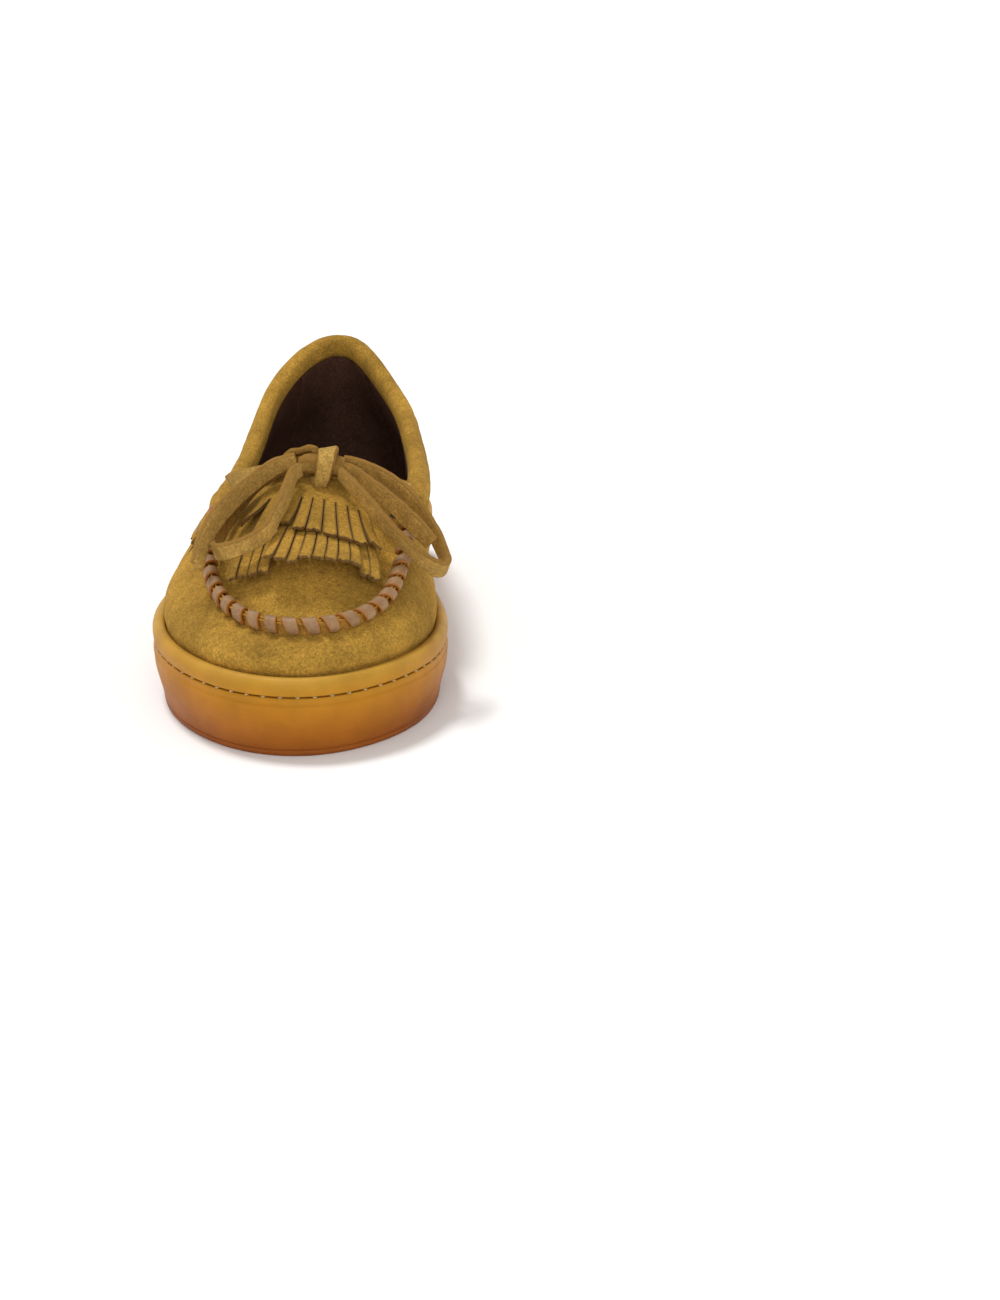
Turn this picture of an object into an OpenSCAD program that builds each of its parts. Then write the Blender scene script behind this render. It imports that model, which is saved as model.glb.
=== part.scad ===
// Kiltie moccasin on a stitched cup sole, right foot.
// Toe towards -Y, inner (medial) side towards +X, +Z up, origin on the ground under the middle.

/* [Sole] */
// Length of the cup sole, heel to toe
sole_l = 272; // [250:1:295]
// Width of the cup sole at the ball of the foot
sole_w = 104; // [96:1:112]
// Thickness of the outsole under the foot
outsole_t = 6; // [4:0.5:8]
// Thickness of the sole's side wall at the lip
rim_t = 4.4; // [3.6:0.1:5]
// How far the sole's bottom edge is drawn in
bottom_inset = 3; // [1:0.5:4]
// Depth of the stitch groove under the lip
groove_d = 1.3; // [1.2:0.1:1.8]

/* [Upper] */
// Thickness of the suede
suede_t = 1.6; // [1.2:0.1:1.8]
// Thickness of the leather lining
lining_t = 0.9; // [0.7:0.1:1.0]
// Thickness of the heel stiffener
stiffener_t = 1.2; // [0.8:0.1:1.3]
// Share of the wall's height where the collar band starts
collar_from = 0.57; // [0.54:0.01:0.62]
// Radius of the collar's padded roll
collar_r = 3.2; // [2.8:0.1:3.6]
// Rise of the apron's dome over its seam
dome_h = 14.5; // [11:0.5:17]

/* [Lacing and fringe] */
// Number of lace wraps round the apron seam
wraps = 24; // [18:1:30]
// Width of one fringe strip
strip_w = 5; // [4:0.5:6]
// Width of the flat suede lace
lace_w = 6; // [5:0.5:6.5]
// Thickness of the flat suede lace
lace_t = 2.2; // [1.6:0.1:2.4]

/* [Hidden] */

// Fit between neighbouring layers of one body
gap = 0.2;
// Length and width that the control points below are drawn at
drawn = [104, 272];
// Inset of the upper's outer face from the sole's outline, at the lip
wall_inset = rim_t + gap;
// Sides of a full circle on small round solids
$fn = 32;

// Control points of closed loops, from the back of the heel along the inner side to the toe
sole_points = [
    [0, 141], [24, 136], [37, 114], [37, 86], [34, 54], [35, 19], [41, -15], [48, -50], [49, -85],
    [40, -117], [14, -142], [-17, -137], [-41, -107], [-51, -71], [-51, -36], [-46, -2],
    [-42, 29], [-40, 60], [-39, 91], [-27, 129]
];
top_points = [
    [0, 120, 96.5], [9, 111.5, 92.5], [18.5, 92, 84], [28, 68, 76], [33, 34, 70], [37, 1, 67],
    [37, -30, 65], [36.5, -58, 56], [36, -87, 47], [31, -112, 40], [8, -125, 38], [-15.5, -113, 39],
    [-26.5, -87, 45], [-29.5, -59, 52], [-29.5, -31, 61], [-27, -8, 63], [-26, 20, 64], [-25, 52, 70],
    [-23.5, 79, 80], [-13.5, 107, 92]
];
lip_heights = [30, 29, 27.5, 26, 25, 24.5, 24.5, 25, 26, 27, 26.5, 27, 27.5, 27.5, 27, 26, 25, 25,
    26.5, 29];
// Swell of the wall, near its foot and near its top
low_swell = [3.5, 2.5, 2, 1.5, 1.5, 1.5, 2, 2.5, 2.5, 2.5, 2.5, 2.5, 2.5, 2.5, 2.5, 2, 1.5, 2, 3, 3.5];
high_swell = [1, 0.8, 0.6, 1, 0.5, 1, 2, 5, 7, 7, 6.5, 7, 7, 6, 3.5, 1.5, 0.5, 0.6, 0.8, 1];

// Loop parameters where pieces meet: 0 is the back of the heel, 0.5 the toe
seam_toe = 0.508;
seam_medial = 0.305;
seam_lateral = 0.725;
strip_medial = 0.333;
strip_lateral = 0.672;
strip_lean = 0.018;
strip_du = 0.005;
counter_medial = 0.088;
counter_lateral = 0.912;
counter_lean = 0.04;

// Middle of the bow's knot, and half its size
knot_at = [9, -61.5, 81];
knot_half = [4, 5.2, 5.4];

// Routes of the bow's laces
loop_medial_route = [
    [16, -57, 79.5], [21, -56.5, 78], [27, -56.5, 75], [33, -57, 71.5], [39, -59, 67], [43.5, -62, 61.5],
    [47.5, -65, 56], [50.5, -69, 50.5], [52, -75, 47.5], [50, -81, 47.5], [47, -85, 50.5],
    [42.5, -87, 54.5], [37, -86, 59.5], [31.5, -83, 64.5], [26, -78, 69.5], [20, -72, 74.5], [16, -67, 77.5]
];
tail_medial_route = [
    [16, -62, 78], [18.5, -63, 77], [21, -64, 75.5], [23.5, -65, 74], [26, -66, 72.5], [28.5, -67, 71],
    [31, -68, 69.5], [33.5, -69, 67.5], [36, -70, 65.5], [38, -71, 63.5], [40, -72, 62],
    [42, -72.5, 60], [44, -73, 58], [45.5, -73.5, 56.5], [47, -74, 55]
];
loop_lateral_route = [
    [2, -66, 78.5], [0, -70, 77.5], [-1, -76, 74.5], [-2, -83, 71.5], [-4, -90, 68], [-6, -95, 64.5],
    [-11, -98, 61.5], [-16, -98, 59.5], [-20.5, -95, 57.5], [-24, -89, 56], [-25.5, -82, 55.5], [-25.5, -75, 57],
    [-24, -68, 60], [-20.5, -62.5, 64.5], [-17, -59.5, 69.3], [-13, -58.5, 73], [-7, -58, 76.5],
    [-2, -58, 78.5], [2, -58.5, 79.5]
];
tail_lateral_route = [
    [0.5, -63, 81.5], [-2, -63, 80.8], [-6, -63, 79.2], [-10, -63.3, 76.8], [-14, -64, 73.8],
    [-17.5, -66.5, 71.4], [-20.5, -70, 69], [-23, -74, 66.8], [-25, -78, 64.6], [-26.6, -82, 62.4],
    [-27.8, -86, 60.2], [-28.6, -90, 58], [-29, -94, 55.8], [-29, -98, 53.6]
];
run_medial_route = [
    [36, -40, 66], [33.5, -44, 67.5], [30, -48, 69], [26, -51, 71], [22, -52.5, 72.5], [18.5, -53.5, 74],
    [15.5, -54, 75]
];
run_lateral_route = [
    [-27, -30, 66], [-25.5, -34, 67.5], [-22, -39, 69.5], [-17.5, -44, 71.5], [-12.5, -48.5, 73.5],
    [-8.5, -50.5, 74]
];

// ---------------------------------------------------------------- curves

function mix(a, b, k) = a * (1 - k) + b * k;
function smooth(x) = let (c = min(max(x, 0), 1)) c * c * (3 - 2 * c);
function unit(v) = v / norm(v);

// Point of a closed uniform cubic B-spline at u, for numbers or vectors
function loop_at(p, u) =
    let (n = len(p), x = (u - floor(u)) * n, i = floor(x), t = x - i)
    ((1 - t) ^ 3 * p[(i + n - 1) % n] + (3 * t ^ 3 - 6 * t ^ 2 + 4) * p[i % n]
        + (-3 * t ^ 3 + 3 * t ^ 2 + 3 * t + 1) * p[(i + 1) % n] + t ^ 3 * p[(i + 2) % n]) / 6;

// The drawn sole outline, moved and scaled to the driving length and width
sole_raw = [for (k = [0 : 399]) loop_at(sole_points, k / 400)];
sole_lo = [min([for (p = sole_raw) p.x]), min([for (p = sole_raw) p.y])];
sole_hi = [max([for (p = sole_raw) p.x]), max([for (p = sole_raw) p.y])];
sole_mid = (sole_lo + sole_hi) / 2;
sole_scale = [sole_w / (sole_hi.x - sole_lo.x), sole_l / (sole_hi.y - sole_lo.y)];
function outline(u) =
    let (p = loop_at(sole_points, u) - sole_mid)
    [p.x * sole_scale.x, p.y * sole_scale.y];

// Unit vector pointing out of the outline, and the outline drawn in by d at height z
function outward(u) =
    let (d = outline(u + 0.001) - outline(u - 0.001))
    unit([-d.y, d.x, 0]);
function inset(u, d, z) = let (p = outline(u), o = outward(u)) [p.x - o.x * d, p.y - o.y * d, z];

// 1 where the wall ends in the open collar, 0 along the apron seam
function collar_share(u) =
    let (c = u - floor(u))
    c < 0.5 ? 1 - smooth((c - 0.3) / 0.06) : smooth((c - 0.67) / 0.06);
// The rim of the opening, and the top of the wall under the collar's roll
function rim(u) =
    let (p = loop_at(top_points, u))
    [p.x * sole_w / drawn.x, p.y * sole_l / drawn.y, p.z];
function rim_out(u) =
    let (d = rim(u + 0.001) - rim(u - 0.001))
    unit([-d.y, d.x, 0]);
function wall_top(u) = rim(u) + collar_share(u) * (rim_out(u) * 5.2 - [0, 0, 2.5]);
function wall_foot(u) = inset(u, wall_inset, loop_at(lip_heights, u));

// Height of the lasting board's top, which steps up towards the heel
function board_z(y) = 11.2 + 6 * smooth((y + 40) / 100);

// Outer face of the wall: t 0 at the sole's lip, 1 at the top, and straight down below the lip
function wall(u, t) =
    let (a = wall_foot(u))
    t < 0 ? [a.x, a.y, mix(a.z, board_z(a.y) + 0.4, -t)] :
    let (d = wall_top(u), h = [0, 0, d.z - a.z], o = outward(u),
        b = a + h * 0.36 + o * loop_at(low_swell, u),
        c = d - h * 0.22 + o * loop_at(high_swell, u))
    (1 - t) ^ 3 * a + 3 * (1 - t) ^ 2 * t * b + 3 * (1 - t) * t ^ 2 * c + t ^ 3 * d;
function wall_normal(u, t) =
    let (s = max(t, 0.002))
    unit(cross(wall(u, s + 0.002) - wall(u, s - 0.002), wall(u + 0.001, s) - wall(u - 0.001, s)));
// Point at depth d under the wall's outer face
function under(u, t, d) = wall(u, t) - d * (t < 0 ? outward(u) : wall_normal(u, t));

// Apron and tongue: v 0 at the toe to 1 at the tongue's top edge, w -1 lateral to 1 medial
function dome(v) = dome_h * smooth(v / 0.72) - 4.5 * max(0, (v - 0.72) / 0.28) ^ 2;
function apron(v, w) =
    let (m = rim(mix(seam_toe, seam_medial, v)), l = rim(mix(seam_toe, seam_lateral, v)),
        q = 1 - w * w)
    mix(l, m, (w + 1) / 2) + [0, -20 * v * v * q, dome(v) * q];
function apron_normal(v, w) =
    let (n = cross(apron(v, w + 0.01) - apron(v, w - 0.01), apron(v + 0.01, w) - apron(v - 0.01, w)))
    unit(n.z < 0 ? -n : n);
function over_apron(v, w, d) = apron(v, w) + d * apron_normal(v, w);

// Direction in which the raised seam stands, and the seam's own line
function seam_up(u) =
    unit(outward(u) * (0.45 + 0.6 * smooth(abs(u - seam_toe) / 0.15)) + [0, 0, 1]);
function seam(u, d) = rim(u) + d * seam_up(u);

// ---------------------------------------------------------------- solids

// Triangles of a closed shell between two n x m grids of points; keep(i, j) says which cells exist
function quad(a, b, c, d) = [[a, b, c], [a, c, d]];
function shell_faces(n, m, keep, wrap) =
    let (rows = wrap ? n : n - 1, all = n * m)
    [for (i = [0 : rows - 1]) for (j = [0 : m - 2]) if (keep[i][j])
        let (i2 = (i + 1) % n, a = i * m + j, b = i2 * m + j, c = i2 * m + j + 1, d = i * m + j + 1,
            prev = wrap ? keep[(i + rows - 1) % rows][j] : i > 0 && keep[i - 1][j],
            next = wrap ? keep[(i + 1) % rows][j] : i < rows - 1 && keep[i + 1][j])
        each concat(
            quad(a, b, c, d),
            quad(all + d, all + c, all + b, all + a),
            prev ? [] : quad(a, d, all + d, all + a),
            next ? [] : quad(c, b, all + b, all + c),
            j > 0 && keep[i][j - 1] ? [] : quad(b, a, all + a, all + b),
            j < m - 2 && keep[i][j + 1] ? [] : quad(d, c, all + c, all + d))];

// Six times the signed volume inside a set of triangles, one number for each of them
function volume(p, f) = [for (t = f) cross(p[t[0]], p[t[1]]) * p[t[2]]];
function sum(v, i = 0, s = 0) = i == len(v) ? s : sum(v, i + 1, s + v[i]);
module closed(points, faces) {
    turned = sum(volume(points, faces)) > 0;
    polyhedron(points, turned ? [for (t = faces) [t[0], t[2], t[1]]] : faces, convexity = 10);
}

function all_cells(n, m) = [for (i = [0 : n - 1]) [for (j = [0 : m - 1]) true]];
// A sheet with thickness, from its outer and inner faces as lists of rows
module sheet(outer, inner, keep = undef, wrap = false) {
    n = len(outer);
    m = len(outer[0]);
    cells = is_undef(keep) ? all_cells(n, m) : keep;
    closed([each for (r = outer) r, each for (r = inner) r], shell_faces(n, m, cells, wrap));
}

// A tube through a list of equal rings
function ring_faces(n, m) = concat(
    [for (i = [0 : n - 2]) for (j = [0 : m - 1])
        each quad(i * m + j, i * m + (j + 1) % m, (i + 1) * m + (j + 1) % m, (i + 1) * m + j)],
    [for (j = [1 : m - 2]) [0, j + 1, j]],
    [for (j = [1 : m - 2]) [(n - 1) * m, (n - 1) * m + j, (n - 1) * m + j + 1]]);
module tube(rings) {
    closed([each for (r = rings) r], ring_faces(len(rings), len(rings[0])));
}

// Tangent of a list of points at i, and an oval ring of half sizes a along wide and b across it
function along(p, i) = unit(p[min(i + 1, len(p) - 1)] - p[max(i - 1, 0)]);
function ring(at, dir, wide, a, b, sides) =
    let (x = unit(wide - dir * (wide * dir)), y = cross(dir, x))
    [for (k = [0 : sides - 1]) let (f = 360 * k / sides) at + x * a * cos(f) + y * b * sin(f)];
module ribbon(route, wide, a, b, sides = 8) {
    tube([for (i = [0 : len(route) - 1]) ring(route[i], along(route, i), wide, a, b, sides)]);
}

// A round stitch from a to b
module stitch(a, b, d) {
    v = b - a;
    translate(a)
        rotate([0, acos(v.z / norm(v)), atan2(v.y, v.x)])
            cylinder(h = norm(v), d = d, $fn = 16);
}
// Stitches on consecutive pairs of a list of points, each filling a share of its pitch
module stitches(points, d, share = 0.7) {
    for (i = [0 : len(points) - 2])
        stitch(mix(points[i], points[i + 1], (1 - share) / 2),
            mix(points[i], points[i + 1], (1 + share) / 2), d);
}

function steps(a, b, n) = [for (k = [0 : n]) mix(a, b, k / n)];

// A panel of the wall between the seams from(t) and to(t), t0 to t1, d0 to d1 deep
module panel(from0, from1, to0, to1, t0, t1, d0, d1, nu, nt) {
    us = [for (t = steps(t0, t1, nt)) steps(mix(from0, from1, max(t, 0)), mix(to0, to1, max(t, 0)), nu)];
    ts = steps(t0, t1, nt);
    sheet([for (i = [0 : nu]) [for (j = [0 : nt]) under(us[j][i], ts[j], d0)]],
        [for (i = [0 : nu]) [for (j = [0 : nt]) under(us[j][i], ts[j], d1)]]);
}
// A patch of the apron's dome
module dome_patch(v0, v1, w1, d0, d1, nv, nw) {
    vs = steps(v0, v1, nv);
    ws = steps(-w1, w1, nw);
    sheet([for (v = vs) [for (w = ws) over_apron(v, w, d0)]],
        [for (v = vs) [for (w = ws) over_apron(v, w, d1)]]);
}

// ---------------------------------------------------------------- sole

stations = 96;
// How far the stitch groove lies under the lip
groove_drop = 6;
function lip_z(u) = loop_at(lip_heights, u);

// A solid through a list of equal closed rings, each end closed to its own middle point
module loft(rings) {
    n = len(rings);
    m = len(rings[0]);
    ends = [for (r = [rings[0], rings[n - 1]]) sum(r, s = [0, 0, 0]) / m];
    points = [each for (r = rings) r, each ends];
    sides = [for (i = [0 : n - 2]) for (j = [0 : m - 1])
        each quad(i * m + j, i * m + (j + 1) % m, (i + 1) * m + (j + 1) % m, (i + 1) * m + j)];
    first = [for (j = [0 : m - 1]) [(j + 1) % m, j, n * m]];
    last = [for (j = [0 : m - 1]) [(n - 1) * m + j, (n - 1) * m + (j + 1) % m, n * m + 1]];
    closed(points, concat(sides, first, last));
}
function ring_at(d, z, n = stations) = [for (k = [0 : n - 1]) inset(k / n, d, z)];
function ring_below_lip(d, drop, n = stations) =
    [for (k = [0 : n - 1]) inset(k / n, d, lip_z(k / n) - drop)];

module cup_sole() {
    color("peru")
        loft([
            ring_at(bottom_inset + 1.2, 0),
            ring_at(bottom_inset, 1.2),
            ring_at(0.5, 11),
            ring_below_lip(0, groove_drop + 2.4),
            ring_below_lip(0, groove_drop + 1.2),
            ring_below_lip(groove_d, groove_drop + 0.9),
            ring_below_lip(groove_d, groove_drop - 0.9),
            ring_below_lip(0.3, groove_drop - 1.2),
            ring_below_lip(0.5, 1.4),
            ring_below_lip(1.6, 0),
            ring_below_lip(rim_t, 0),
            ring_at(rim_t, outsole_t + 1),
            ring_at(rim_t + 1, outsole_t)
        ]);
}

module sole_stitching() {
    count = 110;
    color("burlywood")
        stitches([for (k = [0 : count]) inset(k / count, groove_d - 0.65, lip_z(k / count) - groove_drop)],
            0.9);
}

// Rings of a plate inside the upper or the cup that follow the lasting board at height h over its top
plate_shares = [0.05, 0.4, 0.75, 1];
function plate_ring(edge, k, h) =
    [for (p = ring_at(edge, 0, 60)) [p.x * k, p.y * k, h + board_z(p.y * k)]];
module plate(edge, low, high) {
    loft(concat(
        [for (i = [0 : 3]) plate_ring(edge, plate_shares[i], low)],
        [for (i = [3 : -1 : 0]) plate_ring(edge, plate_shares[i], high)]));
}

board_t = 2;
foam_t = 4;
sock_t = 1;
// Depth of the lining under the wall's outer face: the stiffener lies in front of it at the heel
function heel_share(u) = let (c = abs(u - round(u))) 1 - smooth((c - 0.11) / 0.05);
stiffener_gap = 0.35;
function lining_depth(u) = suede_t + gap + heel_share(u) * (stiffener_t + 2 * stiffener_gap - gap);
foam_inset = wall_inset + suede_t + stiffener_t + lining_t + 2 * stiffener_gap + 2 * gap;

module midsole_filler() {
    edge = rim_t + 1.2;
    color("dimgray")
        loft(concat([ring_at(edge, outsole_t + gap, 60)],
            [for (i = [3 : -1 : 0]) plate_ring(edge, plate_shares[i], -board_t - gap)]));
}
module lasting_board() {
    color("tan") plate(rim_t + 0.8, -board_t, 0);
}
module footbed_foam() {
    color("gray") plate(foam_inset, 2 * gap, 2 * gap + foam_t);
}
module sock_cover() {
    color("saddlebrown") plate(foam_inset, 3 * gap + foam_t, 3 * gap + foam_t + sock_t);
}

// ---------------------------------------------------------------- upper

suede = "#9c7730";
// Where the wall's panels stop below the lip, and under the collar
hem = -0.97;
panel_top = collar_from - 0.01;

module vamp() {
    color(suede)
        panel(strip_medial + strip_du, strip_medial - strip_lean + strip_du,
            strip_lateral - strip_du, strip_lateral + strip_lean - strip_du,
            hem, 0.97, 0, suede_t, 44, 9);
}
module side_strip(u0, lean) {
    color("#4a3a22")
        panel(u0 - strip_du + 0.0006, u0 + lean - strip_du + 0.0006,
            u0 + strip_du - 0.0006, u0 + lean + strip_du - 0.0006, hem, 0.97, 0.3, suede_t, 2, 9);
}
module side_strip_medial() {
    side_strip(strip_medial, -strip_lean);
}
module side_strip_lateral() {
    side_strip(strip_lateral, strip_lean);
}
// A quarter runs from the side strip to the heel counter, below the collar
module quarter(strip, lean, counter, counter_turn) {
    color(suede)
        panel(strip, strip + lean, counter, counter + counter_turn, hem, panel_top, 0, suede_t, 18, 8);
}
module quarter_medial() {
    quarter(strip_medial - strip_du, -strip_lean, counter_medial + 0.0006, -counter_lean);
}
module quarter_lateral() {
    quarter(strip_lateral + strip_du, strip_lean, counter_lateral - 0.0006, counter_lean);
}
module heel_counter() {
    color(suede)
        panel(counter_lateral - 1, counter_lateral - 1 + counter_lean,
            counter_medial, counter_medial - counter_lean, hem, panel_top, 0, suede_t, 20, 9);
}
module counter_stiffener() {
    color("linen")
        panel(-0.105, -0.095, 0.105, 0.095, hem, 0.5,
            suede_t + stiffener_gap, suede_t + stiffener_gap + stiffener_t, 22, 9);
}
module counter_stitching() {
    edge = 0.004;
    color("burlywood")
        for (side = [[counter_lateral + edge, counter_lean], [counter_medial - edge, -counter_lean]])
            stitches([for (t = steps(0.02, panel_top - 0.02, 13))
                under(side[0] + side[1] * t, t, -0.5)], 0.7);
}

patch_reach = 0.058;
patch_low = 0.105;
patch_high = 0.24;
patch_t = 1.8;
module heel_patch() {
    color(suede)
        panel(-patch_reach, -patch_reach, patch_reach, patch_reach, patch_low, patch_high,
            -patch_t, -gap, 12, 2);
}
module heel_patch_stitching() {
    in = 0.18 * (patch_high - patch_low);
    d = -patch_t - 0.7;
    color("burlywood") {
        for (t = [patch_low + in, patch_high - in])
            stitches([for (u = steps(-patch_reach + 0.003, patch_reach - 0.003, 13)) under(u, t, d)], 1);
        for (u = [-patch_reach + 0.003, patch_reach - 0.003])
            stitch(under(u, patch_low + 2 * in, d), under(u, patch_high - 2 * in, d), 1);
    }
}

// The lining leans away from the wall above the footbed to meet the collar's inner edge
lining_top = 0.885;
lining_back = 2 * collar_r - 1.6;
function lining_at(u, t, d) =
    under(u, t, lining_depth(u) + (lining_back - lining_depth(u)) * smooth((t - 0.42) / 0.3) + d);
lining_rows = steps(hem, lining_top, 9);
lining_steps = steps(0, 1, 40);
function lining_sheet(ks, ts, d) =
    [for (k = ks) [for (t = ts) lining_at(collar_u(k, max(t, 0)), t, d)]];
module quarter_lining() {
    color("#5a3b2b")
        sheet(lining_sheet(lining_steps, lining_rows, 0),
            lining_sheet(lining_steps, lining_rows, lining_t));
}
module vamp_lining() {
    color("#5a3b2b")
        panel(strip_medial + strip_du, strip_medial - strip_lean + strip_du,
            strip_lateral - strip_du, strip_lateral + strip_lean - strip_du,
            hem, 0.95, suede_t + gap, suede_t + gap + lining_t, 40, 8);
}
module heel_grip() {
    ks = [for (i = [16 : 24]) lining_steps[i]];
    ts = [for (i = [4 : 8]) lining_rows[i]];
    color("#4c3226")
        sheet(lining_sheet(ks, ts, lining_t + gap), lining_sheet(ks, ts, 2 * lining_t + gap));
}

// ---------------------------------------------------------------- collar

// Point on the collar's roll, at angle f from outside over the top, radius r round its middle
function roll_at(u, f, r) =
    let (up = unit(wall(u, 1) - wall(u, 0.98)), into = -wall_normal(u, 0.99))
    wall(u, 1) + into * collar_r + (up * sin(f) - into * cos(f)) * r;
// Section of the collar: up the outside, over the roll, down the inside, at distance s from its skin
function puff(t) = 1.2 * sin(180 * min(1, (t - collar_from) / (1 - collar_from)));
// k runs 0 to 1 from the lateral front end round the heel, and both ends lean with the side strips
function collar_u(k, t) =
    mix(strip_lateral + strip_lean * t + 1.2 * strip_du - 1, strip_medial - strip_lean * t - 1.2 * strip_du, k);
function collar_section(k, s) = concat(
    [for (t = steps(collar_from, 0.98, 4)) under(collar_u(k, t), t, s - puff(t))],
    [for (f = [15, 50, 90, 130, 165]) roll_at(collar_u(k, 1), f, collar_r - s)],
    [for (t = [0.97, 0.935, 0.9]) under(collar_u(k, t), t, 2 * collar_r - s)]);
collar_steps = steps(0, 1, 46);
collar_skin = 1.3;

module collar() {
    color(suede)
        sheet([for (k = collar_steps) collar_section(k, 0)],
            [for (k = collar_steps) collar_section(k, collar_skin)]);
}
module collar_padding() {
    s = collar_skin + gap;
    outer = [for (k = collar_steps) concat(
        [for (t = [0.68, 0.8, 0.92]) under(collar_u(k, t), t, s - puff(t))],
        [for (f = [15, 50, 85]) roll_at(collar_u(k, 1), f, collar_r - s)])];
    inner = [for (k = collar_steps) concat(
        [for (t = [0.75, 0.82, 0.89]) under(collar_u(k, t), t, lining_back - 4 * gap)],
        [for (t = [0.935, 0.965]) under(collar_u(k, t), t, 2 * collar_r - s - gap)],
        [roll_at(collar_u(k, 1), 130, collar_r - s)])];
    color("lightyellow") sheet(outer, inner);
}
module collar_stitching() {
    t = collar_from + 0.06;
    color("burlywood")
        stitches([for (k = steps(0.004, 0.996, 84)) under(collar_u(k, t), t, -puff(t) - 0.5)], 0.7);
}

// ---------------------------------------------------------------- apron and tongue

apron_end = 0.8;
module apron_panel() {
    color(suede) dome_patch(0.06, apron_end - 0.01, 0.95, -suede_t, 0, 14, 14);
}
module apron_lining() {
    color("#5a3b2b")
        dome_patch(0.1, apron_end - 0.01, 0.86, -suede_t - gap - lining_t, -suede_t - gap, 10, 12);
}
module tongue() {
    color(suede) dome_patch(apron_end, 0.93, 0.8, -suede_t, 0, 4, 14);
}
module tongue_lining() {
    color("#5a3b2b")
        dome_patch(apron_end, 0.93, 0.78, -suede_t - gap - lining_t, -suede_t - gap, 4, 12);
}
roll_r = 3;
module tongue_roll() {
    ws = steps(-0.82, 0.74, 16);
    line = [for (w = ws) apron(0.985, w) + [0, 0, 0.8 + 2.5 * smooth(w)]];
    color(suede) ribbon(line, [0, 0, 1], roll_r, roll_r, 12);
}

// The cord and lace wraps that stand on the seam round the apron
seam_cord_r = 1.4;
seam_cord_up = 2;
wrap_r = 2.2;
wrap_from = 0.345;
wrap_to = 0.66;
module seam_cord() {
    line = [for (u = steps(wrap_from - 0.008, wrap_to + 0.008, 48)) seam(u, seam_cord_up)];
    color("chocolate") ribbon(line, [0, 0, 1], seam_cord_r, seam_cord_r, 8);
}
module whip_lace() {
    color("rosybrown")
        for (k = [0 : wraps - 1]) {
            u = mix(wrap_from, wrap_to, (k + 0.5) / wraps);
            tie = unit(seam(u + 0.002, 0) - seam(u - 0.002, 0));
            up = unit(seam_up(u) - tie * (seam_up(u) * tie));
            side = cross(tie, up);
            arc = [for (f = [-95 : 38 : 95])
                seam(u, seam_cord_up) + wrap_r * (up * cos(f) + side * sin(f)) + tie * 1.6 * sin(f)];
            ribbon(arc, tie, 1.4, 0.5, 6);
        }
}
// Crossed stitches between the last wrap and the side strip
module cross_stitches(from, to) {
    n = 4;
    color("sienna")
        for (k = [0 : n - 1]) {
            a = mix(from, to, (k + 0.1) / n);
            b = mix(from, to, (k + 0.8) / n);
            for (turn = [0, 1]) {
                up = 1.2 + 1.2 * turn;
                stitch(seam(turn == 0 ? a : b, up) + outward(a) * 2.6,
                    seam(turn == 0 ? b : a, up) - outward(a) * 1.4, 1);
            }
        }
}
module cross_stitches_medial() {
    cross_stitches(wrap_from - 0.012, strip_medial - strip_lean + 0.008);
}
module cross_stitches_lateral() {
    cross_stitches(wrap_to + 0.012, strip_lateral + strip_lean - 0.008);
}

// ---------------------------------------------------------------- fringe flap

// Flap over the apron: a -1 lateral to 1 medial, b 0 at its sewn edge to 1 at the lower strips' tips
flap_t = 1.2;
flap_from = 0.845;
flap_to = 0.34;
function flap(a, b, d) =
    over_apron(mix(flap_from, flap_to, b), 0.12 - 0.06 * b + a * mix(0.38, 0.87, b), d + 3.6 * b * b);
// A flap with strips cut from slit to its tips at reach, between d and d + flap_t over the apron
module fringe(n, d, reach, slit) {
    cut = 0.12;
    as = [for (k = [0 : n - 1]) each [-1 + (2 * k + cut) / n, -1 + (2 * k + 2 - cut) / n]];
    bs = concat(steps(0, slit, 2), [for (k = [0.25, 0.5, 0.75, 1]) mix(slit, reach, k)]);
    cells = [for (i = [0 : len(as) - 1]) [for (b = bs) i % 2 == 0 || b < slit - 0.01]];
    color(suede)
        sheet([for (a = as) [for (b = bs) flap(a, b, d)]],
            [for (a = as) [for (b = bs) flap(a, b, d + flap_t)]], cells);
}
module kiltie_lower() {
    fringe(round(70 / strip_w), 0.4, 1, 0.42);
}
module kiltie_upper() {
    fringe(round(50 / strip_w), 0.6 + flap_t, 0.62, 0.3);
}

// ---------------------------------------------------------------- bow

module lace(route, wide) {
    color("#a07a35") ribbon(route, wide, lace_w / 2, lace_t / 2);
}
module lace_run_medial() {
    lace(run_medial_route, [0.6, 0.8, 0]);
}
module lace_run_lateral() {
    lace(run_lateral_route, [-0.6, 0.8, 0]);
}
module bow_knot() {
    color("#a07a35")
        loft([for (f = [-75 : 25 : 75]) [for (k = [0 : 15]) let (g = 360 * k / 16)
            knot_at + [knot_half.x * cos(f) * cos(g), knot_half.y * cos(f) * sin(g),
                knot_half.z * sin(f)]]]);
}
module bow_loop_medial() {
    lace(loop_medial_route, [0.3, -0.4, 0.85]);
}
module bow_tail_medial() {
    lace(tail_medial_route, [0.5, -0.3, 0.8]);
}
module bow_loop_lateral() {
    lace(loop_lateral_route, [-0.2, -0.4, 0.85]);
}
module bow_tail_lateral() {
    lace(tail_lateral_route, [-0.5, -0.3, 0.8]);
}

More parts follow.
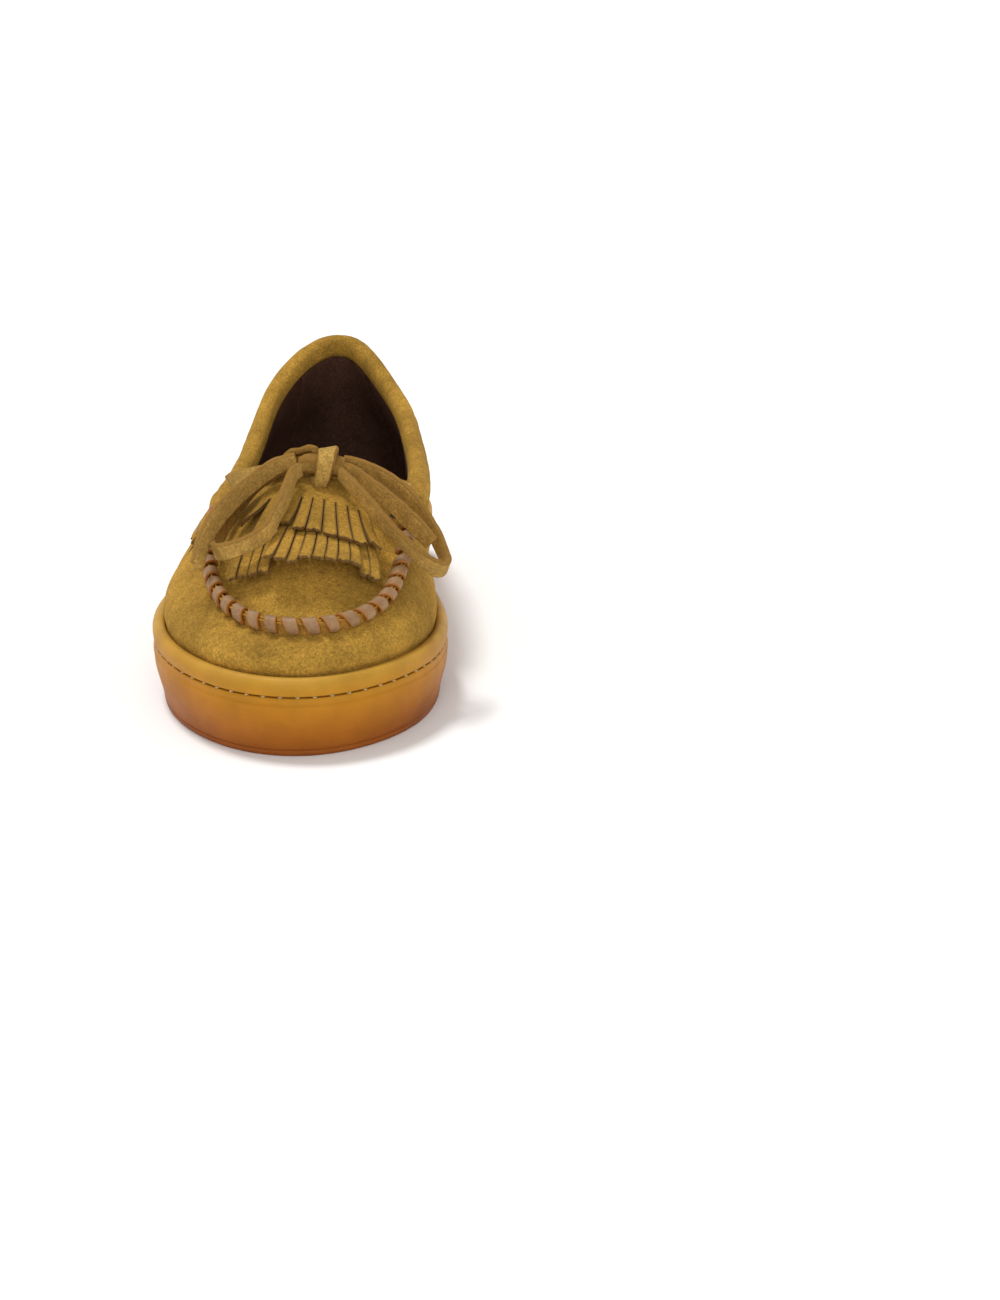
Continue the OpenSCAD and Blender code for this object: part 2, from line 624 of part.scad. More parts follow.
cup_sole();
sole_stitching();
midsole_filler();
lasting_board();
footbed_foam();
sock_cover();
vamp();
quarter_medial();
quarter_lateral();
side_strip_medial();
side_strip_lateral();
heel_counter();
counter_stitching();
heel_patch();
heel_patch_stitching();
counter_stiffener();
vamp_lining();
quarter_lining();
heel_grip();
collar();
collar_padding();
collar_stitching();
apron_panel();  // apron
apron_lining();
seam_cord();
whip_lace();
cross_stitches_medial();
cross_stitches_lateral();
tongue();
tongue_lining();
tongue_roll();
kiltie_lower();
kiltie_upper();
lace_run_medial();
lace_run_lateral();
bow_knot();
bow_loop_medial();
bow_tail_medial();
bow_loop_lateral();
bow_tail_lateral();
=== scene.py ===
"""Looks of the kiltie moccasin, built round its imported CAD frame. Lengths are in mm until a mesh is made."""

import math

import bpy
import numpy as np
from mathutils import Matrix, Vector, noise


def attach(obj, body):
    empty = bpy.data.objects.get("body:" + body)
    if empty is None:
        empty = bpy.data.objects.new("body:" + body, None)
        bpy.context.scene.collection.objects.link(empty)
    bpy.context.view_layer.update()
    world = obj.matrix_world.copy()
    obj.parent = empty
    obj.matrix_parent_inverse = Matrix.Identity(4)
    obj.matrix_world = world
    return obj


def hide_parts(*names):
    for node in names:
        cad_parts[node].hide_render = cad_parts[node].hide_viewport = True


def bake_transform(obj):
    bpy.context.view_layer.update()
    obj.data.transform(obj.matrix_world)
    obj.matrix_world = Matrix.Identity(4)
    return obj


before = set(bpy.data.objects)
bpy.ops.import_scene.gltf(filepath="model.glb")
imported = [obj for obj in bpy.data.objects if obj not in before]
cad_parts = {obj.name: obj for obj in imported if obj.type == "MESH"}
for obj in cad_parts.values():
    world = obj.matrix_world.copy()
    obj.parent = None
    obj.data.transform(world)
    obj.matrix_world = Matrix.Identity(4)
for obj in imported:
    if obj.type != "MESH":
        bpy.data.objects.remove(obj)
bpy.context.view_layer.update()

MM = 0.001
Z = np.array([0.0, 0.0, 1.0])

# ------------------------------------------------------------------ camera

camera = bpy.data.objects.new("camera", bpy.data.cameras.new("camera"))
bpy.context.scene.collection.objects.link(camera)
bpy.context.scene.camera = camera
camera.location = (0.07466, -0.70139, 0.22159)
LOOK_DOWN, TURN = 18.08, 0.41  # degrees
camera.rotation_euler = (math.radians(90 - LOOK_DOWN), 0, math.radians(TURN))
camera.data.lens = 52.84
camera.data.sensor_width = 36
camera.data.clip_start = 0.01


# ------------------------------------------------------------------ small maths


def mix(a, b, k):
    return a + (b - a) * k


def smooth(x):
    c = np.clip(x, 0, 1)
    return c * c * (3 - 2 * c)


def bell(x, width):
    return np.exp(-((x / width) ** 2))


def unit(v):
    return v / np.linalg.norm(v, axis=-1, keepdims=True)


def col(x):
    """A field of numbers as a field of one-number vectors."""
    return np.asarray(x, float)[..., None]


def interp(x, xs, ys):
    """Smooth curve through a few (x, y) pairs, eased between neighbours."""
    x = np.asarray(x, float)
    i = np.clip(np.searchsorted(xs, x) - 1, 0, len(xs) - 2)
    xs, ys = np.asarray(xs, float), np.asarray(ys, float)
    k = smooth((x - xs[i]) / (xs[i + 1] - xs[i]))
    return mix(ys[i], ys[i + 1], k)


def bumpy(p, size, seed=0.0):
    """Smooth noise from -1 to 1 over points in mm, with features of about that size."""
    q = np.asarray(p, float).reshape(-1, 3) / size + seed
    out = np.array([noise.noise(Vector(r)) for r in q])
    return out.reshape(np.asarray(p).shape[:-1])


def loop_at(points, u):
    """Point of a closed uniform cubic B-spline at u."""
    p = np.asarray(points, float)
    n = len(p)
    u = np.asarray(u, float)
    x = (u - np.floor(u)) * n
    i = np.floor(x).astype(int)
    t = x - i
    if p.ndim > 1:
        t = t[..., None]
    a, b, c, d = (p[(i + k) % n] for k in (-1, 0, 1, 2))
    return (
        (1 - t) ** 3 * a
        + (3 * t**3 - 6 * t**2 + 4) * b
        + (-3 * t**3 + 3 * t**2 + 3 * t + 1) * c
        + t**3 * d
    ) / 6


def spline(points, n):
    """n points, evenly spaced, on a smooth curve through the given ones."""
    p = np.asarray(points, float)
    p = np.vstack([2 * p[0] - p[1], p, 2 * p[-1] - p[-2]])
    t = np.linspace(0, 1, 17)[:-1, None]
    out = []
    for i in range(1, len(p) - 2):
        a, b, c, d = p[i - 1 : i + 3]
        out.append(
            0.5 * (2 * b + (c - a) * t + (2 * a - 5 * b + 4 * c - d) * t**2 + (3 * b - a - 3 * c + d) * t**3)
        )
    out = np.vstack(out + [p[-2][None]])
    s = np.concatenate([[0], np.cumsum(np.linalg.norm(np.diff(out, axis=0), axis=1))])
    want = np.linspace(0, s[-1], n)
    return np.stack([np.interp(want, s, out[:, k]) for k in range(3)], 1)


# ------------------------------------------------------------------ the shoe's surfaces, as in part.scad

SOLE_L, SOLE_W, RIM_T, GAP = 272, 104, 4.4, 0.2
SUEDE_T, LINING_T, STIFFENER_T, STIFFENER_GAP = 1.6, 0.9, 1.2, 0.35
COLLAR_FROM, COLLAR_R, DOME_H = 0.57, 3.2, 14.5
COLLAR_OUT, COLLAR_DROP = 5.2, 2.5  # where the wall ends, out from and below the collar's rim
LOOP_MM, COLLAR_MM = 640.0, 400.0  # rough lengths of the sole's loop and of the collar
WALL_INSET = RIM_T + GAP
SOLE_POINTS = [
    [0, 141], [24, 136], [37, 114], [37, 86], [34, 54], [35, 19], [41, -15], [48, -50], [49, -85],
    [40, -117], [14, -142], [-17, -137], [-41, -107], [-51, -71], [-51, -36], [-46, -2],
    [-42, 29], [-40, 60], [-39, 91], [-27, 129],
]
TOP_POINTS = [
    [0, 120, 96.5], [9, 111.5, 92.5], [18.5, 92, 84], [28, 68, 76], [33, 34, 70], [37, 1, 67],
    [37, -30, 65], [36.5, -58, 56], [36, -87, 47], [31, -112, 40], [8, -125, 38], [-15.5, -113, 39],
    [-26.5, -87, 45], [-29.5, -59, 52], [-29.5, -31, 61], [-27, -8, 63], [-26, 20, 64], [-25, 52, 70],
    [-23.5, 79, 80], [-13.5, 107, 92],
]
LIP_HEIGHTS = [30, 29, 27.5, 26, 25, 24.5, 24.5, 25, 26, 27, 26.5, 27, 27.5, 27.5, 27, 26, 25, 25, 26.5, 29]
LOW_SWELL = [3.5, 2.5, 2, 1.5, 1.5, 1.5, 2, 2.5, 2.5, 2.5, 2.5, 2.5, 2.5, 2.5, 2.5, 2, 1.5, 2, 3, 3.5]
HIGH_SWELL = [1, 0.8, 0.6, 1, 0.5, 1, 2, 5, 7, 7, 6.5, 7, 7, 6, 3.5, 1.5, 0.5, 0.6, 0.8, 1]
SEAM_TOE, SEAM_MEDIAL, SEAM_LATERAL = 0.508, 0.305, 0.725
STRIP_MEDIAL, STRIP_LATERAL, STRIP_LEAN, STRIP_DU = 0.333, 0.672, 0.018, 0.005
COUNTER_MEDIAL, COUNTER_LATERAL, COUNTER_LEAN = 0.088, 0.912, 0.04
WRAP_FROM, WRAP_TO, WRAPS = 0.345, 0.66, 24

raw = loop_at(SOLE_POINTS, np.arange(400) / 400)
sole_lo, sole_hi = raw.min(0), raw.max(0)
sole_mid = (sole_lo + sole_hi) / 2
sole_scale = np.array([SOLE_W, SOLE_L]) / (sole_hi - sole_lo)


def outline(u):
    return (loop_at(SOLE_POINTS, u) - sole_mid) * sole_scale


def turned(d):
    """Horizontal unit vector to the right of a direction along the loop."""
    out = np.zeros(d.shape[:-1] + (3,))
    out[..., 0], out[..., 1] = -d[..., 1], d[..., 0]
    return unit(out)


def outward(u):
    return turned(outline(u + 0.001) - outline(u - 0.001))


def inset(u, d, z):
    """Point of the sole's outline drawn in by d, at height z."""
    u, d, z = np.broadcast_arrays(u, d, z)
    p = outline(u)
    q = np.concatenate([p, col(z)], -1)
    return q - outward(u) * col(d)


def lip_z(u):
    return loop_at(LIP_HEIGHTS, u)


def collar_share(u):
    c = u - np.floor(u)
    return np.where(c < 0.5, 1 - smooth((c - 0.3) / 0.06), smooth((c - 0.67) / 0.06))


def rim(u):
    return loop_at(TOP_POINTS, u)


def wall_top(u):
    out = turned(rim(u + 0.001) - rim(u - 0.001))
    return rim(u) + col(collar_share(u)) * (out * COLLAR_OUT - Z * COLLAR_DROP)


def board_z(y):
    return 11.2 + 6 * smooth((y + 40) / 100)


def wall(u, t):
    """Outer face of the wall: t 0 at the sole's lip, 1 at the top, straight down below the lip."""
    u, t = np.broadcast_arrays(np.asarray(u, float), np.asarray(t, float))
    a, d, o = inset(u, WALL_INSET, lip_z(u)), wall_top(u), outward(u)
    h = col(d[..., 2] - a[..., 2]) * Z
    b = a + h * 0.36 + o * col(loop_at(LOW_SWELL, u))
    c = d - h * 0.22 + o * col(loop_at(HIGH_SWELL, u))
    k = col(np.maximum(t, 0))
    p = (1 - k) ** 3 * a + 3 * (1 - k) ** 2 * k * b + 3 * (1 - k) * k**2 * c + k**3 * d
    low = a.copy()
    low[..., 2] = mix(a[..., 2], board_z(a[..., 1]) + 0.4, -t)
    return np.where(col(t) < 0, low, p)


def wall_normal(u, t):
    s = np.maximum(t, 0.002)
    return unit(np.cross(wall(u, s + 0.002) - wall(u, s - 0.002), wall(u + 0.001, s) - wall(u - 0.001, s)))


def under(u, t, d):
    """Point at depth d under the wall's outer face; d is negative outside it."""
    u, t, d = np.broadcast_arrays(*(np.asarray(x, float) for x in (u, t, d)))
    n = np.where(col(t) < 0, outward(u), wall_normal(u, t))
    return wall(u, t) - col(d) * n


def dome(v):
    return DOME_H * smooth(v / 0.72) - 4.5 * np.maximum(0, (v - 0.72) / 0.28) ** 2


def apron_at(v, w):
    v, w = np.broadcast_arrays(np.asarray(v, float), np.asarray(w, float))
    m, l = rim(mix(SEAM_TOE, SEAM_MEDIAL, v)), rim(mix(SEAM_TOE, SEAM_LATERAL, v))
    q = 1 - w * w
    p = mix(l, m, col((w + 1) / 2))
    p[..., 1] -= 20 * v * v * q
    p[..., 2] += dome(v) * q
    return p


def apron_normal(v, w):
    n = np.cross(
        apron_at(v, w + 0.01) - apron_at(v, w - 0.01),
        apron_at(v + 0.01, w) - apron_at(np.maximum(v - 0.01, 0), w),
    )
    return unit(np.where(n[..., 2:] < 0, -n, n))


def over_apron(v, w, d):
    return apron_at(v, w) + col(d) * apron_normal(v, w)


def seam_up(u):
    return unit(outward(u) * col(0.45 + 0.6 * smooth(np.abs(u - SEAM_TOE) / 0.15)) + Z)


def seam_frame(u):
    """Directions along, up from and across the raised seam."""
    tie = unit(rim(u + 0.002) - rim(u - 0.002))
    up = unit(seam_up(u) - tie * (seam_up(u) * tie).sum(-1, keepdims=True))
    return tie, up, np.cross(tie, up)


# ------------------------------------------------------------------ meshes


def finish_mesh(name, verts, faces, material, body, replaces=(), slot=None, sharp=50, attrs=None):
    mesh = bpy.data.meshes.new(name)
    mesh.from_pydata([tuple(v) for v in np.asarray(verts) * MM], [], faces)
    mesh.validate()
    mesh.polygons.foreach_set("use_smooth", np.ones(len(mesh.polygons), bool))
    mesh.set_sharp_from_angle(angle=math.radians(sharp))
    for key, values in (attrs or {}).items():
        a = mesh.attributes.new(key, "FLOAT", "POINT")
        a.data.foreach_set("value", np.asarray(values, np.float32))
    mesh.materials.append(material)
    obj = bpy.data.objects.new(name, mesh)
    bpy.context.scene.collection.objects.link(obj)
    if body:
        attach(obj, body)
    if replaces:
        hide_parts(*replaces)
    return obj


def grid_faces(n, m, wrap=False, start=0, flip=False):
    """Quads between the points of an n by m grid."""
    i = np.arange(n if wrap else n - 1)[:, None]
    j = np.arange(m - 1)[None]
    i2 = (i + 1) % n
    f = np.stack([i * m + j, i2 * m + j, i2 * m + j + 1, i * m + j + 1], -1).reshape(-1, 4) + start
    return (f[:, ::-1] if flip else f).tolist()


def volume_of(verts, faces):
    """Positive when the closed faces point outwards."""
    tris = np.array([[f[0], f[k], f[k + 1]] for f in faces for k in range(1, len(f) - 1)])
    a, b, c = (verts[tris[:, k]] for k in range(3))
    return np.einsum("ij,ij->i", np.cross(a, b), c).sum()


class Soup:
    """Grows one mesh out of many small ones."""

    def __init__(self):
        self.verts, self.faces, self.count, self.attrs = [], [], 0, {}

    def add(self, verts, faces, **attrs):
        """One closed shape; its faces are turned to point outwards."""
        verts = np.asarray(verts, float).reshape(-1, 3)
        if volume_of(verts, faces) < 0:
            faces = [f[::-1] for f in faces]
        self.faces += [[i + self.count for i in f] for f in faces]
        for key in set(self.attrs) | set(attrs):
            have = self.attrs.setdefault(key, [np.zeros(self.count)])
            have.append(np.broadcast_to(np.asarray(attrs.get(key, 0.0), float).reshape(-1), (len(verts),)))
        self.verts.append(verts)
        self.count += len(verts)

    def shell(self, outer, inner, wrap=False, **attrs):
        """Closed sheet between two n by m grids."""
        n, m = outer.shape[:2]
        all_ = n * m
        f = grid_faces(n, m, wrap) + grid_faces(n, m, wrap, all_, True)
        for i in range(n if wrap else n - 1):
            a, b = i * m, (i + 1) % n * m
            f.append([all_ + a, all_ + b, b, a])
            f.append([a + m - 1, b + m - 1, all_ + b + m - 1, all_ + a + m - 1])
        if not wrap:
            for j in range(m - 1):
                a, b = j, (n - 1) * m + j
                f.append([a, a + 1, all_ + a + 1, all_ + a])
                f.append([all_ + b, all_ + b + 1, b + 1, b])
        both = {k: np.concatenate([np.broadcast_to(v, (n, m)).reshape(-1)] * 2) for k, v in attrs.items()}
        self.add(np.concatenate([outer.reshape(-1, 3), inner.reshape(-1, 3)]), f, **both)

    def tube(self, rings, **attrs):
        """Closed tube through equal rings, with flat ends."""
        rings = np.asarray(rings, float)
        n, m = rings.shape[:2]
        f = []
        for i in range(n - 1):
            for j in range(m):
                k = (j + 1) % m
                f.append([i * m + j, i * m + k, (i + 1) * m + k, (i + 1) * m + j])
        f.append([j for j in range(m - 1, -1, -1)])
        f.append([(n - 1) * m + j for j in range(m)])
        full = {k: np.broadcast_to(v, (n, m)).reshape(-1) for k, v in attrs.items()}
        self.add(rings, f, **full)

    def make(self, name, material, body, **more):
        attrs = {k: np.concatenate(v) for k, v in self.attrs.items()}
        return finish_mesh(name, np.concatenate(self.verts), self.faces, material, body, attrs=attrs, **more)


def frames_along(path, wide):
    """Unit tangents, and unit width and thickness directions, along a path."""
    path = np.asarray(path, float)
    tan = unit(np.gradient(path, axis=0))
    wide = np.broadcast_to(np.asarray(wide, float), path.shape)
    x = unit(wide - tan * (wide * tan).sum(1, keepdims=True))
    return tan, x, np.cross(tan, x)


def rounded(w, t, r, per=3):
    """A strap's section, w by t with corners of radius r: its points, and 1 for those on a cut edge."""
    pts = []
    for cx, cy, start in ((1, 1, 0), (-1, 1, 90), (-1, -1, 180), (1, -1, 270)):
        for k in range(per + 1):
            f = math.radians(start + 90 * k / per)
            pts.append([cx * (w / 2 - r) + r * math.cos(f), cy * (t / 2 - r) + r * math.sin(f)])
    n = per + 1
    out, marks = [], []
    for i, p in enumerate(pts):
        q = pts[(i + 1) % len(pts)]
        out.append(p)
        marks.append(1.0 if abs(p[0]) > w / 2 - r * 0.75 else 0.0)
        if i % n == n - 1 and abs(p[0] - q[0]) > w * 0.4:
            for k in (0.2, 0.4, 0.6, 0.8):
                out.append([mix(p[0], q[0], k), mix(p[1], q[1], k)])
                marks.append(0.0)
    return np.array(out), np.array(marks)


def strap(soup, path, wide, w, t, r, widths=None, ragged=0.0, seed=0.0):
    """A flat strap along a path; widths scale its section across, and ragged is how rough it is cut."""
    tan, x, y = frames_along(path, wide)
    sec, edge = rounded(w, t, r)
    n = len(path)
    ws = np.ones(n) if widths is None else np.asarray(widths, float)
    rings = (
        np.asarray(path)[:, None]
        + x[:, None] * (sec[None, :, :1] * ws[:, None, None])
        + y[:, None] * sec[None, :, 1:]
    )
    if ragged:
        rings = rings + (bumpy(rings, 2.2, seed) * ragged)[..., None] * x[:, None]
        rings = rings + (bumpy(rings, 5.0, seed + 9) * ragged)[..., None] * y[:, None]
    soup.tube(rings, edge=np.broadcast_to(edge, rings.shape[:2]))


def stitch(soup, a, b, r, up, lift=0.35, sides=8, rings=7):
    """One thread stitch from a to b, arched along up and drawn down into its holes."""
    a, b, up = (np.asarray(x, float) for x in (a, b, up))
    s = np.linspace(0, 1, rings)
    path = a + (b - a) * s[:, None] + up * ((np.sin(np.pi * s) * 1.6 - 0.8) * lift * r * 2)[:, None]
    tan, x, y = frames_along(path, up)
    f = np.linspace(0, 2 * np.pi, sides, endpoint=False)
    fat = r * (0.55 + 0.45 * np.sin(np.pi * s) ** 0.5)
    ring = x[:, None] * np.cos(f)[None, :, None] + y[:, None] * np.sin(f)[None, :, None]
    soup.tube(path[:, None] + ring * fat[:, None, None])


def stitch_row(soup, points, ups, r, share=0.75, slant=0.0):
    """Stitches on consecutive pairs of a row of points; slant tips each one across the row."""
    for i in range(len(points) - 1):
        a, b, up = points[i], points[i + 1], unit(ups[i] + ups[i + 1])
        side = np.cross(unit(b - a), up) * slant
        m, h = (a + b) / 2, (b - a) * share / 2
        stitch(soup, m - h - side, m + h + side, r, up)


# ------------------------------------------------------------------ materials


class Shader:
    """A Principled material and short ways to add nodes to it."""

    def __init__(self, name, rough=0.8, **sockets):
        self.m = bpy.data.materials.new(name)
        self.m.use_nodes = True
        self.t = self.m.node_tree
        self.p = self.t.nodes["Principled BSDF"]
        self.p.inputs["Roughness"].default_value = rough
        for key, value in sockets.items():
            self.p.inputs[key.replace("_", " ")].default_value = value
        self.where = self.t.nodes.new("ShaderNodeTexCoord").outputs["Object"]

    def node(self, kind, **values):
        n = self.t.nodes.new("ShaderNode" + kind)
        for key, value in values.items():
            if hasattr(n, key):
                setattr(n, key, value)
            else:
                self.link(n.inputs[key.replace("_", " ")], value)
        return n

    def link(self, socket, value):
        if isinstance(value, bpy.types.NodeSocket):
            self.t.links.new(value, socket)
        else:
            socket.default_value = value

    def noise(self, size, detail=3.0, rough=0.55, stretch=None):
        """Noise with features of about size mm."""
        where = self.where
        if stretch:
            m = self.node("Mapping")
            self.link(m.inputs["Vector"], where)
            m.inputs["Scale"].default_value = stretch
            where = m.outputs["Vector"]
        n = self.node("TexNoise", Vector=where, Scale=1000 / size, Detail=detail, Roughness=rough)
        return n.outputs["Fac"]

    def ramp(self, value, *stops):
        n = self.node("ValToRGB")
        self.link(n.inputs["Fac"], value)
        e = n.color_ramp.elements
        while len(e) < len(stops):
            e.new(0.5)
        for i, (at, shade) in enumerate(stops):
            e[i].position = at
            e[i].color = (*shade, 1) if len(shade) == 3 else shade
        return n.outputs["Color"]

    def blend(self, k, a, b, kind="MIX"):
        n = self.node("Mix", data_type="RGBA", blend_type=kind)
        self.link(n.inputs[0], k)
        for socket, value in ((n.inputs[6], a), (n.inputs[7], b)):
            self.link(socket, (*value, 1) if isinstance(value, tuple) and len(value) == 3 else value)
        return n.outputs[2]

    def maths(self, kind, a, b=0.0, c=0.0):
        n = self.node("Math", operation=kind)
        for socket, value in zip(n.inputs, (a, b, c)):
            self.link(socket, value)
        return n.outputs[0]

    def attribute(self, name):
        return self.node("Attribute", attribute_name=name).outputs["Fac"]

    def bump(self, height, depth, strength=1.0, before=None):
        """depth is the height in mm of a full step."""
        n = self.node("Bump", Height=height, Distance=depth * MM, Strength=strength)
        if before is not None:
            self.link(n.inputs["Normal"], before)
        return n.outputs["Normal"]

    def done(self, colour, normal=None, rough=None):
        self.link(self.p.inputs["Base Color"], colour)
        if normal is not None:
            self.link(self.p.inputs["Normal"], normal)
        if rough is not None:
            self.link(self.p.inputs["Roughness"], rough)
        return self.m


def grey(x):
    return (x, x, x)


def tint(shade, k):
    return tuple(min(1.0, c * k) for c in shade)


def suede(name, base, cut=None, nap=1.0, grain=0.8):
    """Brushed leather: broad strokes of lighter and darker nap, a mottle and a fine speckle."""
    s = Shader(name, 0.95, Specular_IOR_Level=0.1, Sheen_Weight=0.12, Sheen_Roughness=0.5)
    s.p.inputs["Sheen Tint"].default_value = (*tint(base, 2.0), 1)
    dark, light = tint(base, 1 - 0.22 * nap), tint(base, 1 + 0.2 * nap)
    broad = s.ramp(s.noise(30, 3, 0.55), (0.36, dark), (0.5, base), (0.66, light))
    along = s.noise(8, 4, 0.6, (1.0, 1.0, 0.55))
    strokes = s.ramp(along, (0.3, grey(0.86)), (0.5, grey(1.0)), (0.75, grey(1.12)))
    fibre = s.ramp(s.noise(2.2, 4, 0.65), (0.3, grey(0.84)), (0.5, grey(1.0)), (0.7, grey(1.16)))
    speck = s.ramp(s.noise(grain, 3, 0.7), (0.3, grey(0.62)), (0.5, grey(1.0)), (0.7, grey(1.4)))
    colour = broad
    for layer in (strokes, fibre, speck):
        colour = s.blend(1.0, colour, layer, "MULTIPLY")
    if cut is not None:
        edge = s.attribute("edge")
        rough_cut = s.blend(s.noise(0.8, 2), tint(cut, 0.65), tint(cut, 1.3))
        colour = s.blend(s.maths("MULTIPLY", edge, 0.85), colour, rough_cut)
    normal = s.bump(s.noise(grain * 1.1, 3, 0.7), 0.3, 1.0)
    normal = s.bump(s.noise(2.4, 4, 0.6), 0.4, 0.9, normal)
    return s.done(colour, normal)


def smooth_leather(name, base, edge=None, rough=0.5, pore=1.1):
    """Finished leather with soft mottling and fine pores."""
    s = Shader(name, rough, Specular_IOR_Level=0.4)
    tone = s.ramp(s.noise(7, 4, 0.6), (0.3, tint(base, 0.82)), (0.7, tint(base, 1.18)))
    fine = s.ramp(s.noise(1.2, 3, 0.6), (0.35, grey(0.9)), (0.65, grey(1.1)))
    colour = s.blend(1.0, tone, fine, "MULTIPLY")
    if edge is not None:
        colour = s.blend(s.attribute("edge"), colour, edge)
    cells = s.node("TexVoronoi", Vector=s.where, Scale=1000 / pore, feature="DISTANCE_TO_EDGE")
    normal = s.bump(cells.outputs["Distance"], 0.06, 0.5, s.bump(s.noise(3, 3), 0.2, 0.4))
    return s.done(colour, normal, s.maths("MULTIPLY_ADD", s.noise(2.5, 3), 0.25, rough - 0.12))


def thread(name, base):
    s = Shader(name, 0.6, Specular_IOR_Level=0.35, Sheen_Weight=0.2)
    tone = s.ramp(s.noise(0.5, 2), (0.3, tint(base, 0.68)), (0.7, tint(base, 1.25)))
    wave = s.node("TexWave", Vector=s.where, Scale=900.0, Distortion=2.0, bands_direction="DIAGONAL")
    return s.done(tone, s.bump(wave.outputs["Fac"], 0.08, 0.6))


def board(name, base):
    s = Shader(name, 0.85)
    tone = s.ramp(s.noise(1.4, 5, 0.7), (0.3, tint(base, 0.75)), (0.7, tint(base, 1.2)))
    return s.done(tone, s.bump(s.noise(0.7, 3), 0.1, 0.6))


def gum_rubber():
    """Amber rubber, redder and deeper towards the ground, that lets a little light in, with painted shade in
    the slit beside the stitches.
    """
    s = Shader("gum_rubber", 0.5, Specular_IOR_Level=0.16, Subsurface_Weight=0.1, Subsurface_Scale=0.002)
    s.p.inputs["Subsurface Radius"].default_value = (1.0, 0.4, 0.12)
    height = s.node("SeparateXYZ", Vector=s.where).outputs["Z"]
    wander = s.maths("MULTIPLY_ADD", s.noise(60, 2), 0.008, height)
    level = s.maths("DIVIDE", s.maths("SUBTRACT", wander, 0.004), 0.03)
    colour = s.ramp(
        level, (0.0, (0.27, 0.070, 0.008)), (0.3, (0.37, 0.122, 0.006)), (0.6, (0.45, 0.182, 0.008)),
        (0.78, (0.46, 0.215, 0.015)), (1.0, (0.52, 0.31, 0.05)),
    )
    haze = s.ramp(s.noise(14, 4, 0.6), (0.35, grey(0.9)), (0.65, grey(1.08)))
    dust = s.ramp(s.noise(0.9, 4, 0.7), (0.62, grey(1.0)), (0.8, grey(1.3)))
    colour = s.blend(1.0, s.blend(1.0, colour, haze, "MULTIPLY"), dust, "MULTIPLY")
    # painted shade: where the 'edge' attribute marks the slit beside the sole's stitches, the rubber is
    # darkened towards near black as if in shadow
    colour = s.blend(s.maths("MULTIPLY", s.attribute("edge"), 0.6), colour, (0.09, 0.03, 0.005))
    normal = s.bump(s.noise(0.6, 2), 0.03, 0.5, s.bump(s.noise(12, 2), 0.25, 0.4))
    return s.done(colour, normal, s.maths("MULTIPLY_ADD", s.noise(5, 4), 0.3, 0.36))


TAN = (0.375, 0.207, 0.033)
M_SUEDE = suede("suede", TAN)
M_SUEDE_CUT = suede("suede_cut", TAN, (0.15, 0.082, 0.03))
M_LACE = suede("suede_lace", (0.45, 0.27, 0.068), (0.25, 0.125, 0.026), nap=0.6, grain=0.7)
M_RIDGE = suede("suede_ridge", (0.34, 0.17, 0.03), (0.48, 0.24, 0.04), nap=0.5, grain=0.6)
M_STRIP = suede("dark_strip", (0.055, 0.036, 0.018), nap=0.6)
M_GRIP = suede("grip_suede", (0.075, 0.035, 0.022), nap=0.6)
M_LINING = smooth_leather("lining_leather", (0.085, 0.036, 0.022), rough=0.55)
M_WRAP = smooth_leather("whip_lace_leather", (0.29, 0.16, 0.07), (0.36, 0.125, 0.014), rough=0.55, pore=0.7)
M_ORANGE = smooth_leather("orange_thread", (0.42, 0.17, 0.06), rough=0.6, pore=0.5)
M_THREAD = thread("thread", (0.40, 0.235, 0.10))
M_THREAD_SOLE = thread("sole_thread", (0.50, 0.33, 0.13))
M_BOARD = board("board", (0.45, 0.32, 0.16))
M_STIFF = board("stiffener_board", (0.6, 0.52, 0.38))
M_FOAM = board("foam", (0.12, 0.12, 0.12))
M_RUBBER = gum_rubber()

for names, material in (
    (("midsole_filler", "footbed_foam", "collar_padding"), M_FOAM),
    (("lasting_board",), M_BOARD),
    (("counter_stiffener",), M_STIFF),
    (("vamp_lining", "apron_lining", "tongue_lining"), M_LINING),
    (("side_strip_medial", "side_strip_lateral"), M_STRIP),
):
    for n in names:
        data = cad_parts[n].data
        data.materials.clear()
        data.materials.append(material)

# ------------------------------------------------------------------ laces of the bow

